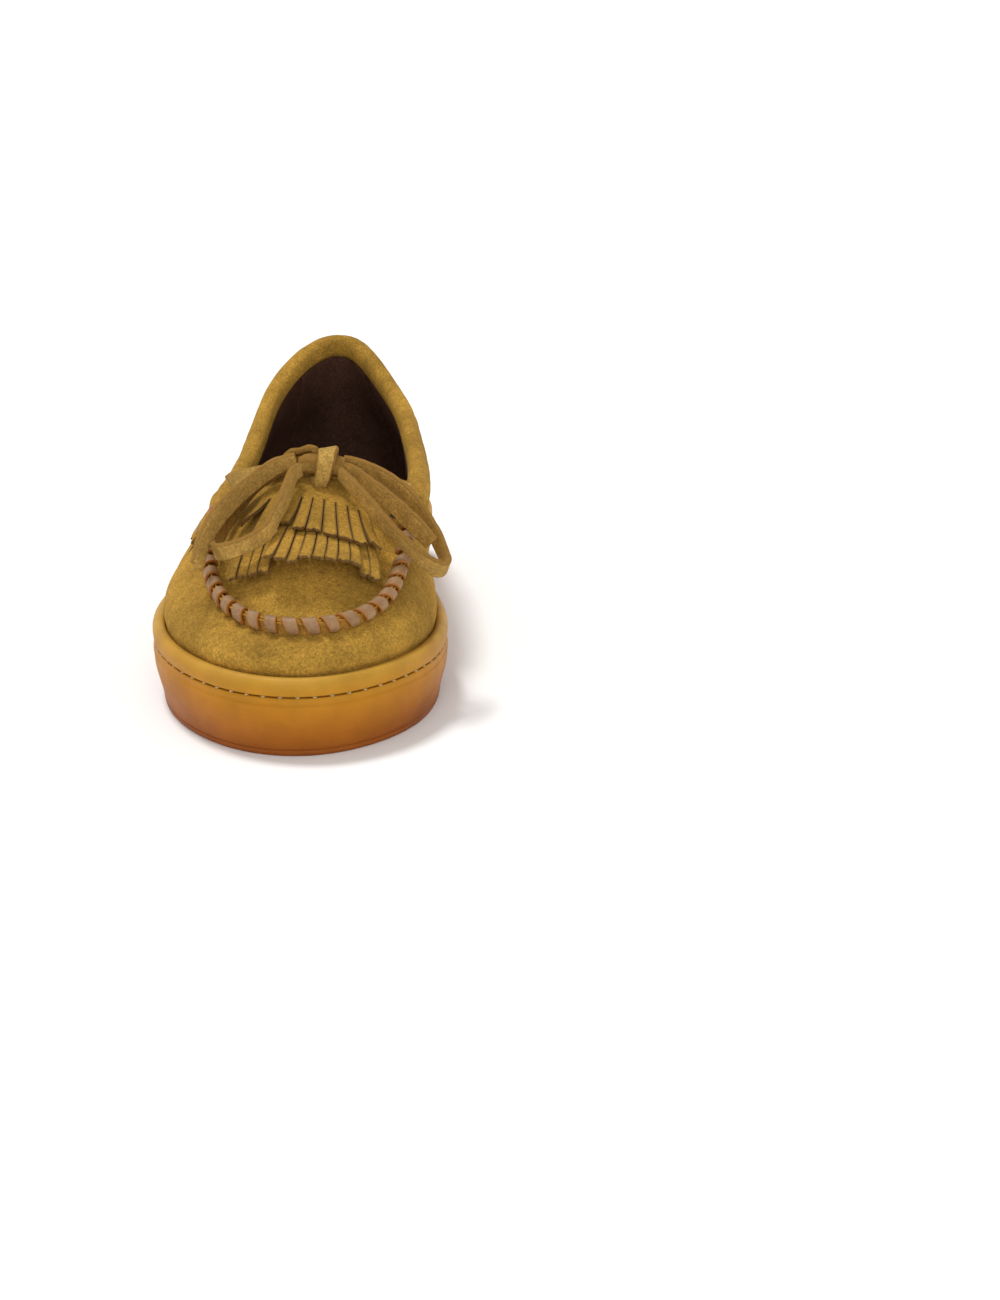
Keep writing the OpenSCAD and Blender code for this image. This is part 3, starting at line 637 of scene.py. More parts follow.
LACE_W, LACE_T = 6.2, 2.1
ROUTES = {
    "bow_loop_medial": [
        [16, -57, 79.5], [21, -56.5, 78], [27, -56.5, 75], [33, -57, 71.5], [39, -59, 67], [43.5, -62, 61.5],
        [47.5, -65, 56], [50.5, -69, 50.5], [52, -75, 47.5], [50, -81, 47.5], [47, -85, 50.5],
        [42.5, -87, 54.5], [37, -86, 59.5], [31.5, -83, 64.5], [26, -78, 69.5], [20, -72, 74.5],
        [16, -67, 77.5],
    ],
    "bow_tail_medial": [
        [16, -62, 78], [18.5, -63, 77], [21, -64, 75.5], [23.5, -65, 74], [26, -66, 72.5], [28.5, -67, 71],
        [31, -68, 69.5], [33.5, -69, 67.5], [36, -70, 65.5], [38, -71, 63.5], [40, -72, 62],
        [42, -72.5, 60], [44, -73, 58], [45.5, -73.5, 56.5], [47, -74, 55],
    ],
    "bow_loop_lateral": [
        [2, -66, 78.5], [0, -70, 77.5], [-1, -76, 74.5], [-2, -83, 71.5], [-4, -90, 68],
        [-6, -95, 64.5], [-11, -98, 61.5], [-16, -98, 59.5], [-20.5, -95, 57.5], [-24, -89, 56],
        [-25.5, -82, 55.5], [-25.5, -75, 57], [-24, -68, 60], [-20.5, -62.5, 64.5],
        [-17, -59.5, 69.3], [-13, -58.5, 73], [-7, -58, 76.5], [-2, -58, 78.5], [2, -58.5, 79.5],
    ],
    "bow_tail_lateral": [
        [0.5, -63, 81.5], [-2, -63, 80.8], [-6, -63, 79.2], [-10, -63.3, 76.8], [-14, -64, 73.8],
        [-17.5, -66.5, 71.4], [-20.5, -70, 69], [-23, -74, 66.8], [-25, -78, 64.6], [-26.6, -82, 62.4],
        [-27.8, -86, 60.2], [-28.6, -90, 58], [-29, -94, 55.8], [-29, -98, 53.6],
    ],
}
WIDES = {
    "bow_loop_medial": [0.3, -0.4, 0.85],
    "bow_tail_medial": [0.5, -0.3, 0.8],
    "bow_loop_lateral": [-0.2, -0.4, 0.85],
    "bow_tail_lateral": [-0.5, -0.3, 0.8],
}
LOOP_TURNS = [0.45, -0.75, 0.5]  # the medial loop's flat side turns to this on its way back
for i, (name, route) in enumerate(ROUTES.items()):
    body = "bow_medial" if name.endswith("medial") else "bow_lateral"
    tail = "tail" in name
    n = 70 if tail else 150
    path = spline(route, n)
    soup = Soup()
    s = np.linspace(0, 1, n)
    widths = 1 + 0.06 * np.sin(9 * s + i) - (0.1 * smooth((s - 0.8) / 0.2) if tail else 0)
    widths = widths * mix(0.72, 1, smooth(s / 0.12)) * (1 if tail else mix(0.72, 1, smooth((1 - s) / 0.12)))
    wide = np.broadcast_to(np.array(WIDES[name]), path.shape)
    if name == "bow_loop_medial":
        wide = mix(wide, np.array(LOOP_TURNS), col(smooth((s - 0.5) / 0.25)))
    strap(soup, path, wide, LACE_W, LACE_T, 0.45, widths=widths, ragged=0.16, seed=3.0 * i)
    lace = soup.make(name + "_lace", M_LACE, body, replaces=[name], slot="suede_lace", sharp=60)


# ------------------------------------------------------------------ sole

GROOVE_DROP = 6.0  # the stitch line's depth below the lip
SLIT = 1.35  # how far the slit beside the stitches is cut in
HEEL_PANEL = 0.118  # the knurled panel's reach either side of the back of the heel, along the loop
KNURL_PITCH, KNURL_H = 1.9, 0.34
SOLE_STITCHES = 110
WALL_ROWS, ROWS_BELOW = 46, 7  # rows of the sole's side, and rows of its foot below them


def sole_columns():
    """Places along the loop, packed closely across the knurled panel."""
    fine = np.linspace(-HEEL_PANEL - 0.004, HEEL_PANEL + 0.004, 620)
    rest = np.linspace(HEEL_PANEL + 0.004, 1 - HEEL_PANEL - 0.004, 460)[1:-1]
    return np.concatenate([fine, rest])


def sole_rows(lip):
    """Section of the cup from the ground's edge, up its side and over to inside the lip: (inset, height)."""
    rows = [(4.4, 0.0), (3.6, 0.0), (3.1, 0.35), (2.95, 1.0), (2.9, 1.7), (3.25, 2.0), (2.8, 2.4)]
    top = lip - GROOVE_DROP - 4.6
    for k in np.linspace(0.04, 1, WALL_ROWS):
        z = mix(2.6, top, k)
        rows.append((mix(2.7, 0.25, smooth(k * 1.05) ** 0.8), z))
    rows += [(0.1, lip - 9.6), (0.15, lip - 9.0), (0.42, lip - 8.7), (0.48, lip - 8.2), (0.4, lip - 7.2)]
    rows += [(0.42, lip - 6.5), (0.62, lip - 6.3), (SLIT, lip - 6.25), (SLIT, lip - 5.75), (0.6, lip - 5.7)]
    rows += [(0.36, lip - 5.5), (0.2, lip - 4.8), (0.08, lip - 3.6), (0.12, lip - 2.4), (0.3, lip - 1.6)]
    rows += [(0.5, lip - 1.15), (0.72, lip - 0.8), (1.0, lip - 0.45), (1.5, lip - 0.15), (2.1, lip)]
    rows += [(3.2, lip - 0.05), (4.1, lip - 0.35), (4.4, lip - 1.2), (4.4, lip - 4.0), (4.4, 7.0), (5.4, 6.0)]
    return rows


def cup_sole():
    us = sole_columns()
    lip = lip_z(us)
    rows = sole_rows(lip)
    d = np.stack([np.broadcast_to(r[0], us.shape) for r in rows], 1).astype(float)
    z = np.stack([np.broadcast_to(r[1], us.shape) for r in rows], 1).astype(float)
    # diamond knurl on the heel's panel, with a plain border line
    along = us * LOOP_MM
    first, last = ROWS_BELOW + 1, ROWS_BELOW + WALL_ROWS - 1
    k = (np.arange(len(rows)) - first) / (last - first)
    inside = (k > 0) & (k < 1)
    border = smooth((HEEL_PANEL - np.abs(us)) * LOOP_MM / 0.5)[:, None]
    fade = np.where(inside, smooth(np.minimum(k, 1 - k) * 12), 0)[None]
    a, b = along[:, None] + z * 1.7, along[:, None] - z * 1.7
    diamonds = np.abs(np.sin(np.pi * a / KNURL_PITCH)) * np.abs(np.sin(np.pi * b / KNURL_PITCH))
    d -= border * fade * (diamonds * KNURL_H - 0.02)
    d += 0.22 * bell((np.abs(us) - HEEL_PANEL) * LOOP_MM, 0.4)[:, None] * np.where(inside, 1, 0)[None]
    n, m = d.shape
    grid = inset(us[:, None], d, z)
    verts = grid.reshape(-1, 3)
    faces = grid_faces(n, m, True)
    # the underside, drawn together to the middle with shallow grooves across it
    shares = np.array([0.97, 0.94, 0.9, 0.86, 0.8, 0.72, 0.62, 0.5, 0.36, 0.2, 0.08])
    under_z = np.array([0, 1.1, 1.1, 0.1, 0, 0.9, 0, 0.9, 0, 0.9, 0.9])
    base = grid[:, 0]
    rings = base[:, None] * shares[None, :, None]
    rings[..., 2] = under_z[None]
    start = len(verts)
    verts = np.concatenate([verts, rings.reshape(-1, 3), [[0, 0, 0.9], [0, 0, 6.0]]])
    r = len(shares)

    def at(i, j):
        return i % n * m if j == 0 else start + i % n * r + j - 1

    for i in range(n):
        for j in range(r):
            faces.append([at(i, j), at(i, j + 1), at(i + 1, j + 1), at(i + 1, j)])
        faces.append([at(i, r), start + n * r, at(i + 1, r)])
        faces.append([i * m + m - 1, (i + 1) % n * m + m - 1, start + n * r + 1])
    if volume_of(verts, faces) < 0:
        faces = [f[::-1] for f in faces]
    # painted shade: the slit's rows are marked in the 'edge' attribute so that the rubber darkens them as if
    # in shadow
    slit = np.zeros(len(verts))
    slit[: n * m] = np.tile([float(row[0] == SLIT) for row in rows], n)
    finish_mesh(
        "cup_sole_skin", verts, faces, M_RUBBER, "shoe", ["cup_sole"], "gum_rubber", 60, {"edge": slit},
    )


def sole_stitching():
    """Short stitches that show in the slit of the sole's side."""
    soup = Soup()
    for k in range(SOLE_STITCHES):
        u0, u1 = (k + 0.39) / SOLE_STITCHES, (k + 0.61) / SOLE_STITCHES
        um = (u0 + u1) / 2
        a, b = (inset(np.array(u), 0.85, lip_z(u) - GROOVE_DROP) for u in (u0, u1))
        stitch(soup, a, b, 0.32, outward(np.array(um)), 0.6)
    soup.make("sole_stitching_thread", M_THREAD_SOLE, "shoe", replaces=["sole_stitching"], slot="thread")


cup_sole()
sole_stitching()


def plate_grid(edge, h, shares, n):
    """A plate that follows the board: rings of the outline drawn in by edge, at height h over it."""
    p = inset(np.arange(n) / n, edge, 0.0)
    q = p[:, None] * np.asarray(shares)[None, :, None]
    q[..., 2] = h + board_z(q[..., 1])
    return q


def sock_cover():
    """The leather insock: its edge rolls down a little and it dips where heel and ball press."""
    shares = np.concatenate([[0.02], np.linspace(0.08, 0.96, 34), [0.98, 0.992, 1.0]])
    edge = WALL_INSET + SUEDE_T + STIFFENER_T + LINING_T + 2 * STIFFENER_GAP + 2 * GAP + 0.15
    top = plate_grid(edge, 3 * GAP + 4 + 1, shares, 260)
    y, x = top[..., 1], top[..., 0]
    top[..., 2] -= 0.8 * bell(np.hypot(x, y - 95), 24) + 0.6 * bell(np.hypot(x - 3, (y + 68) * 0.8), 30)
    top[..., 2] -= 0.6 * smooth((shares - 0.95) / 0.05)[None] ** 2
    top[..., 2] += 0.1 * bumpy(top, 9)
    low = plate_grid(edge, 3 * GAP + 4 + 0.05, shares, 260)
    soup = Soup()
    n, m = top.shape[:2]
    faces = grid_faces(n, m, True) + grid_faces(n, m, True, n * m, True)
    for i in range(n):
        a, b = i * m, (i + 1) % n * m
        faces.append([a + m - 1, b + m - 1, n * m + b + m - 1, n * m + a + m - 1])
        faces.append([n * m + a, n * m + b, b, a])
    soup.add(np.concatenate([top.reshape(-1, 3), low.reshape(-1, 3)]), faces)
    soup.make("sock_cover_leather", M_LINING, "shoe", replaces=["sock_cover"], slot="lining_leather")


sock_cover()

# ------------------------------------------------------------------ panels of the wall


BELOW_LIP = -0.35  # the panels start here, tucked into the cup


def panel(name, node, u_from, u_to, top, nu, nt, lift, depth=SUEDE_T):
    """A panel between two leaning seams; lift(u, t, k) is how far its face stands out, k 0 to 1 across it."""
    ts = np.linspace(BELOW_LIP, top, nt)
    k = np.linspace(0, 1, nu)[:, None]
    lo, hi = u_from(np.maximum(ts, 0)), u_to(np.maximum(ts, 0))
    us = mix(lo[None], hi[None], k)
    tt = np.broadcast_to(ts[None], us.shape)
    out = lift(us, tt, np.broadcast_to(k, us.shape))
    face = under(us, tt, -out)
    face = face + wall_normal(us, tt) * col(0.22 * bumpy(face, 16) + 0.1 * bumpy(face, 6))
    back = under(us, tt, depth - np.maximum(out - 0.6, 0))
    edge = np.zeros(us.shape)
    edge[[0, -1]] = 1
    edge[:, -1] = 1
    soup = Soup()
    soup.shell(face, back, edge=edge)
    soup.make(name, M_SUEDE, "shoe", replaces=[node], slot="suede", sharp=40)


def strip_m(t):
    return STRIP_MEDIAL - STRIP_LEAN * t


def strip_l(t):
    return STRIP_LATERAL + STRIP_LEAN * t


def counter_m(t):
    return COUNTER_MEDIAL - COUNTER_LEAN * t


def counter_l(t):
    return COUNTER_LATERAL + COUNTER_LEAN * t


def wrap_phase(u):
    """Whole numbers half way between two wraps of the whip lace."""
    return (u - WRAP_FROM) / (WRAP_TO - WRAP_FROM) * WRAPS - 0.5


def puckers(u, distance, reach=6.0):
    """Gathers beside the whip seam: drawn in at each wrap, full between them."""
    inside = smooth((u - WRAP_FROM + 0.004) / 0.006) * smooth((WRAP_TO + 0.004 - u) / 0.006)
    return -np.cos(2 * np.pi * wrap_phase(u)) * inside * np.exp(-np.maximum(distance, 0) / reach)


def vamp_lift(u, t, k):
    """Gathers and a tuck below the whip seam, turned-in side edges and a fuller middle."""
    height = np.linalg.norm(wall_top(u) - inset(u, WALL_INSET, lip_z(u)), axis=-1)
    drop = (1 - t) * height
    near = np.minimum(k, 1 - k) * 300
    gather = puckers(u, drop, 5.0) * 0.32
    tuck = 0.9 * bell(drop - 1.0, 2.6) * smooth((u - WRAP_FROM) / 0.01) * smooth((WRAP_TO - u) / 0.01)
    edge_roll = -0.9 * bell(near, 1.6)
    return gather - tuck * 0.6 + edge_roll + 0.5 * bell(t - 0.35, 0.25)


panel(
    "vamp_suede", "vamp", lambda t: strip_m(t) + STRIP_DU, lambda t: strip_l(t) - STRIP_DU,
    0.985, 420, 64, vamp_lift,
)


def quarter_lift(near_strip, t):
    """A quarter's edge at the side strip is turned in; near_strip is 0 there and 1 at its other end."""
    return -0.9 * bell(near_strip * 120, 1.6) + 0.35 * bell(t - 0.3, 0.2)


QUARTER_TOP = COLLAR_FROM + 0.08
COUNTER_LAP = 0.006
panel(
    "quarter_medial_suede", "quarter_medial", lambda t: counter_m(t) - COUNTER_LAP,
    lambda t: strip_m(t) - STRIP_DU, QUARTER_TOP, 200, 44, lambda u, t, k: quarter_lift(1 - k, t),
)
panel(
    "quarter_lateral_suede", "quarter_lateral", lambda t: strip_l(t) + STRIP_DU,
    lambda t: counter_l(t) + COUNTER_LAP, QUARTER_TOP, 200, 44, lambda u, t, k: quarter_lift(k, t),
)


def counter_lift(u, t, k):
    """The counter laps over the quarters; its edges stand proud and its stitch lines are drawn in."""
    near = np.minimum(k, 1 - k) * 110
    return 0.9 - 0.55 * smooth((near - 6) / 16) - 0.45 * bell(near - 2.6, 0.8) + 0.4 * bell(t - 0.3, 0.2)


panel(
    "heel_counter_suede", "heel_counter", lambda t: counter_l(t) - 1, counter_m,
    QUARTER_TOP, 200, 44, counter_lift, SUEDE_T - 0.1,
)


def counter_stitching():
    """A line of thread beside each of the counter's front edges."""
    soup = Soup()
    for side, sign in ((counter_l, 1), (counter_m, -1)):
        t = np.linspace(0.01, COLLAR_FROM - 0.02, 30)
        u = side(t) + sign * 0.004
        stitch_row(soup, under(u, t, -0.62), wall_normal(u, t), 0.36, 0.72)
    soup.make("counter_stitching_thread", M_THREAD, "shoe", replaces=["counter_stitching"], slot="thread")


counter_stitching()

PATCH_REACH, PATCH_LOW, PATCH_HIGH = 0.058, 0.105, 0.24


def heel_patch():
    """A narrow band across the back of the heel, drawn up into ridges between two rows of thick stitches."""
    nu, nt = 150, 46
    us = np.linspace(-PATCH_REACH, PATCH_REACH, nu)[:, None]
    q = np.linspace(0, 1, nt)[None]
    ts = np.broadcast_to(mix(PATCH_LOW, PATCH_HIGH, q), (nu, nt))
    uu = np.broadcast_to(us, (nu, nt))
    end = np.minimum(1, (PATCH_REACH - np.abs(uu)) * LOOP_MM / 3)
    body = smooth(np.minimum(q, 1 - q) / 0.16) ** 0.6 * smooth(end) ** 0.5
    ridges = 0.38 * np.cos(2 * np.pi * (q - 0.5) * 6.0) * bell(q - 0.5, 0.2) * smooth(end / 2)
    rows = 0.75 * (bell(q - 0.2, 0.05) + bell(q - 0.8, 0.05))
    lift = 0.55 + 1.35 * body + ridges - rows
    face = under(uu, ts, -lift)
    face = face + wall_normal(uu, ts) * col(0.12 * bumpy(face, 4))
    soup = Soup()
    soup.shell(face, under(uu, ts, -0.3))
    soup.make("heel_patch_suede", M_SUEDE, "shoe", replaces=["heel_patch"], slot="suede", sharp=70)
    soup = Soup()
    for share, slant in ((0.2, -0.3), (0.8, 0.3)):
        u = np.linspace(-PATCH_REACH + 0.003, PATCH_REACH - 0.003, 16)
        t = np.full(16, mix(PATCH_LOW, PATCH_HIGH, share))
        stitch_row(soup, under(u, t, -1.9), wall_normal(u, t), 0.62, 0.8, slant)
    for u0 in (-PATCH_REACH + 0.002, PATCH_REACH - 0.002):
        t = np.array([0.2, 0.5, 0.8]) * (PATCH_HIGH - PATCH_LOW) + PATCH_LOW
        u = np.full(3, u0)
        stitch_row(soup, under(u, t, -1.5), wall_normal(u, t), 0.6, 0.9, 0.2)
    soup.make("heel_patch_thread", M_THREAD, "shoe", replaces=["heel_patch_stitching"], slot="thread")


heel_patch()

# ------------------------------------------------------------------ collar and linings


def collar_u(k, t):
    """Place along the loop at share k of the collar, which goes from the lateral strip round the heel."""
    lo = STRIP_LATERAL + STRIP_LEAN * t + 1.2 * STRIP_DU - 1
    hi = STRIP_MEDIAL - STRIP_LEAN * t - 1.2 * STRIP_DU
    return mix(lo, hi, k)


STITCH_T = COLLAR_FROM + 0.06
TOOTH, TOOTH_T = 3.9, 0.034  # a tooth of the pinked edge: length in mm, height as a share of the wall
SKIN = 1.15  # thickness of the collar's suede
INNER_END, ROLL_IN = 0.894, 1.1  # where the collar's inner edge ends, and how far it turns in to the lining


def collar_puff(t):
    """How far the collar stands out of the wall: lapped edge, sewn line, hollow, then the padded roll."""
    return interp(t, [0.53, 0.6, STITCH_T, 0.68, 0.78, 0.9, 1.0], [1.45, 1.35, 0.75, 1.15, 0.75, 1.6, 0.5])


def roll_at(u, f, r):
    """Point of the padded roll over the wall's top: at angle f from outside, at radius r."""
    one = np.ones_like(u)
    up = unit(wall(u, one) - wall(u, one * 0.98))
    into = -wall_normal(u, one * 0.99)
    f = np.radians(f)
    return wall(u, one) + into * COLLAR_R + (up * col(np.sin(f)) - into * col(np.cos(f))) * col(r)


def collar():
    """The padded collar's suede: its pinked edge, up the wall, over the roll and down inside."""
    n = 900
    k = np.linspace(0, 1, n)
    along = k * COLLAR_MM
    tooth = np.abs(((along / TOOTH) % 1.0) * 2 - 1)
    edge_t = COLLAR_FROM + 0.004 - TOOTH_T * tooth
    low = [edge_t + a for a in (0.0, 0.008, 0.016)]
    high = np.concatenate([np.linspace(0.604, 0.66, 8), np.linspace(0.68, 0.985, 14)])
    outer_t = [np.maximum(t, edge_t) for t in low + [np.full(n, t) for t in high]]
    ends = smooth(np.minimum(k, 1 - k) * COLLAR_MM / 3.0)
    rows, skins = [], []
    wobble = bumpy(np.stack([along, k * 0, k * 0], 1), 26) * 0.5
    wobble = wobble + bumpy(np.stack([along, k * 0 + 9, k * 0], 1), 9) * 0.18
    dimple = np.cos(2 * np.pi * along / 2.4)
    for t in outer_t:
        u = collar_u(k, t)
        puff = collar_puff(t) * mix(0.55, 1, ends)
        puff = puff + wobble * smooth((t - 0.66) / 0.2) + 0.1 * dimple * bell(t - STITCH_T, 0.015)
        rows.append(under(u, t, -puff))
        skins.append(under(u, t, SKIN - puff))
    u = collar_u(k, np.ones(n))
    for f in np.linspace(12, 168, 15):
        turn = math.radians(f)
        r = COLLAR_R + mix(0.5, 0.1, f / 180) * math.sin(turn) + 0.5 * math.cos(turn) * (f < 90)
        r = r + wobble * 0.8
        rows.append(roll_at(u, f, r))
        skins.append(roll_at(u, f, r - SKIN))
    for t in (0.985, 0.97, 0.955, 0.94, 0.925, 0.912, 0.902, 0.897):
        tt = np.full(n, t)
        u = collar_u(k, tt)
        roll_in = ROLL_IN * (1 - smooth((t - INNER_END) / 0.03))
        rows.append(under(u, tt, 2 * COLLAR_R + 0.3 - roll_in))
        skins.append(under(u, tt, 2 * COLLAR_R - 1.0 - 0.2 * roll_in))
    face, skin = np.stack(rows, 1), np.stack(skins, 1)
    edge = np.zeros(face.shape[:2])
    edge[:, 0] = 1
    edge[[0, -1]] = 0.6
    soup = Soup()
    soup.shell(face, skin, edge=edge)
    obj = soup.make("collar_suede", M_SUEDE_CUT, "shoe", replaces=["collar"], slot="suede", sharp=55)


def collar_stitching():
    """The sewn line above the pinked edge."""
    soup = Soup()
    k = np.linspace(0.004, 0.996, 165)
    t = np.full(k.shape, STITCH_T)
    u = collar_u(k, t)
    stitch_row(soup, under(u, t, -0.95), wall_normal(u, t), 0.32, 0.68)
    soup.make("collar_stitching_thread", M_THREAD, "shoe", replaces=["collar_stitching"], slot="thread")


collar()
collar_stitching()


def lining_depth(u):
    """Depth of the lining under the wall's face, more where the stiffener lies behind it at the heel."""
    c = np.abs(u - np.round(u))
    heel = 1 - smooth((c - 0.11) / 0.05)
    return SUEDE_T + GAP + heel * (STIFFENER_T + 2 * STIFFENER_GAP - GAP)


def lining_at(u, t, d):
    base = lining_depth(u)
    return under(u, t, base + (2 * COLLAR_R - base - 1.6) * smooth((t - 0.42) / 0.3) + d)


def lining_sheet(name, k0, k1, t0, t1, nk, nt, d, material, node, slot, stand=0.0):
    """A soft sheet between shares k0 and k1 of the collar and heights t0 and t1, at depth d in the lining."""
    k = np.linspace(k0, k1, nk)[:, None]
    t = np.linspace(t0, t1, nt)[None]
    kk, tt = np.broadcast_arrays(k, t)
    u = collar_u(kk, np.maximum(tt, 0))
    outer = lining_at(u, tt, d)
    inner = lining_at(u, tt, d + LINING_T + stand)
    n = wall_normal(u, tt)
    inner = inner + n * col(0.22 * bumpy(inner, 14) + 0.08 * bumpy(inner, 4))
    soup = Soup()
    soup.shell(outer, inner)
    soup.make(name, material, "shoe", replaces=[node], slot=slot)


lining_sheet(
    "quarter_lining_leather", 0, 1, -0.9, 0.92, 260, 70, 0.0, M_LINING, "quarter_lining", "lining_leather",
)
lining_sheet(
    "heel_grip_suede", 0.395, 0.605, 0.08, 0.9, 70, 44, LINING_T, M_GRIP, "heel_grip", "grip_suede", 0.3,
)


# ------------------------------------------------------------------ apron, raised seam, tongue

APRON_END = 0.8


def apron_field(v, w):
    """How far the apron's face stands over its smooth dome."""
    u = np.where(w >= 0, mix(SEAM_TOE, SEAM_MEDIAL, v), mix(SEAM_TOE, SEAM_LATERAL, v))
    half = np.linalg.norm(apron_at(v, np.full_like(v, 1)) - apron_at(v, np.full_like(v, -1)), axis=-1) / 2
    side = (1 - np.abs(w)) * np.maximum(half, 0.5)
    toe = v * 95.0
    distance = np.minimum(side, np.where(v < 0.3, toe, 99))
    gather = 0.5 * puckers(u, distance, 3.5)
    return gather + 1.1 * np.exp(-((distance / 2.0) ** 2)) - 0.5 * bell(distance - 3.6, 2.2)


def apron():
    """The apron's suede, with more rows near the toe seam."""
    v = np.concatenate([np.linspace(0.004, 0.1, 26), np.linspace(0.11, APRON_END, 90)])[:, None]
    w = np.sin(np.linspace(-1, 1, 190) * np.pi / 2)[None]
    vv, ww = (a.copy() for a in np.broadcast_arrays(v, w))
    lift = apron_field(vv, ww)
    face = over_apron(vv, ww, lift)
    face = face + apron_normal(vv, ww) * col(0.25 * bumpy(face, 18) + 0.1 * bumpy(face, 6))
    soup = Soup()
    soup.shell(face, over_apron(vv, ww * 0.99, lift * 0 - SUEDE_T))
    soup.make("apron_suede", M_SUEDE, "shoe", replaces=["apron"], slot="suede")


def tongue():
    """The tongue's suede, on from the apron and up to its roll."""
    v = np.linspace(APRON_END - 0.004, 0.97, 40)[:, None]
    w = np.linspace(-0.86, 0.86, 90)[None]
    vv, ww = (a.copy() for a in np.broadcast_arrays(v, w))
    lift = 0.25 * bumpy(apron_at(vv, ww), 12)
    soup = Soup()
    soup.shell(over_apron(vv, ww, lift), over_apron(vv, ww, lift * 0 - SUEDE_T))
    soup.make("tongue_suede", M_SUEDE_CUT, "shoe", replaces=["tongue"], slot="suede")


def tongue_roll():
    """The tongue's top edge, rolled over and sewn down: a soft tube with a few creases."""
    w = np.linspace(-0.84, 0.76, 90)
    one = np.full_like(w, 0.985)
    line = apron_at(one, w) + Z * col(0.8 + 2.5 * smooth(w))
    tan, x, y = frames_along(line, [0, 0, 1])
    f = np.linspace(0, 2 * np.pi, 28, endpoint=False)
    step = np.arange(len(w))
    ends = np.sqrt(np.clip(np.minimum(step, step[::-1]) / 4.0, 0.02, 1))
    r = 3.1 * ends[:, None] * (1 + 0.05 * np.cos(2 * f)[None])
    spoke = x[:, None] * np.cos(f)[None, :, None] + y[:, None] * np.sin(f)[None, :, None]
    ring = line[:, None] + spoke * r[..., None]
    ring = ring + unit(ring - line[:, None]) * col(0.3 * bumpy(ring, 5, 4) + 0.15 * bumpy(ring, 2.5, 8))
    soup = Soup()
    soup.tube(ring)
    soup.make("tongue_roll_suede", M_SUEDE, "shoe", replaces=["tongue_roll"], slot="suede")


apron()
tongue()
tongue_roll()

RIDGE_H = 3.5


def ridge():
    """The edges of vamp and apron, turned up against each other inside the lacing."""
    us = np.linspace(WRAP_FROM - 0.014, WRAP_TO + 0.014, 420)
    tie, up, side = seam_frame(us)
    soup = Soup()
    for sign in (-1, 1):
        layers = []
        for h in (-0.8, 0.4, 1.6, 2.6, 3.2, RIDGE_H):
            top = 0.16 * bumpy(rim(us) + sign * 7, 4) if h == RIDGE_H else 0
            layers.append((h + top, 0.85 + 0.9 * math.exp(-max(h, 0) / 1.1)))
        face = np.stack([rim(us) + up * col(h) + side * (sign * d) for h, d in layers], 1)
        layers[-1] = (layers[-1][0] - 0.25, 0)
        back = np.stack([rim(us) + up * col(h) + side * (sign * 0.14) for h, d in layers], 1)
        edge = np.zeros(face.shape[:2])
        edge[:, -1] = 1
        edge[:, -2] = 0.35
        soup.shell(face, back, edge=edge)
    soup.make("seam_ridge", M_RIDGE, "shoe", replaces=["seam_cord"], slot="seam_cord_leather", sharp=60)


WRAP_UP, WRAP_OUT, WRAP_CENTRE, WRAP_W = 2.35, 2.1, 1.7, 4.4


def whip_lace():
    """Flat lace wound over the ridge; each wrap leans and swells a little differently."""
    soup = Soup()
    for k in range(WRAPS):
        u = WRAP_FROM + (WRAP_TO - WRAP_FROM) * (k + 0.5) / WRAPS
        tie, up, side = seam_frame(np.array(u))
        f = np.radians(np.linspace(-128, 128, 30))
        lean = 1.35 + 0.25 * math.sin(2.3 * k)
        arc = (
            rim(np.array(u)) + up * WRAP_CENTRE
            + up * (WRAP_UP * np.cos(f))[:, None] + side * (WRAP_OUT * np.sin(f))[:, None]
            + tie * (lean * np.sin(f) * (1 - 0.25 * np.cos(f)))[:, None]
        )
        swell = 0.62 + 0.38 * np.cos(f / 2.3) ** 2
        width = WRAP_W + 0.3 * math.sin(1.7 * k + 1)
        strap(soup, arc, tie + up * 0.0001, width, 1.15, 0.4, widths=swell, ragged=0.07, seed=0.7 * k)
    soup.make("whip_lace_wraps", M_WRAP, "shoe", replaces=["whip_lace"], slot="whip_lace_leather", sharp=60)


def cross_stitches(name, start, end):
    """Two layers of leaning stitches that close an end of the raised seam."""
    soup = Soup()
    n = 4
    for k in range(n):
        a, b = mix(start, end, (k + 0.1) / n), mix(start, end, (k + 0.8) / n)
        for turn in (0, 1):
            h = 1.3 + 1.0 * turn
            p, q = (a, b) if turn == 0 else (b, a)
            pa = rim(np.array(p)) + seam_up(np.array(p)) * h + outward(np.array(a)) * 2.7
            pb = rim(np.array(q)) + seam_up(np.array(q)) * h - outward(np.array(a)) * 1.5
            stitch(soup, pa, pb, 0.55, seam_up(np.array(a)), 1.0, 8, 9)
    soup.make(name + "_thread", M_ORANGE, "shoe", replaces=[name], slot="orange_thread")


ridge()
whip_lace()
cross_stitches("cross_stitches_medial", WRAP_FROM - 0.012, STRIP_MEDIAL - STRIP_LEAN + 0.008)
cross_stitches("cross_stitches_lateral", WRAP_TO + 0.012, STRIP_LATERAL + STRIP_LEAN - 0.008)

# ------------------------------------------------------------------ fringe flap

FLAP_T, FLAP_FROM, FLAP_TO = 1.2, 0.845, 0.34
SLIT_LOWER, SLIT_UPPER = 0.42, 0.3  # where the strips are cut free


def flap(a, b, d):
    """Point of the flap: a -1 to 1 across it, b 0 at its sewn edge and 1 at its tips, d above the apron."""
    v = mix(FLAP_FROM, FLAP_TO, b)
    w = 0.12 - 0.06 * b + a * mix(0.38, 0.87, b)
    return over_apron(v, w, d + 3.6 * b * b)


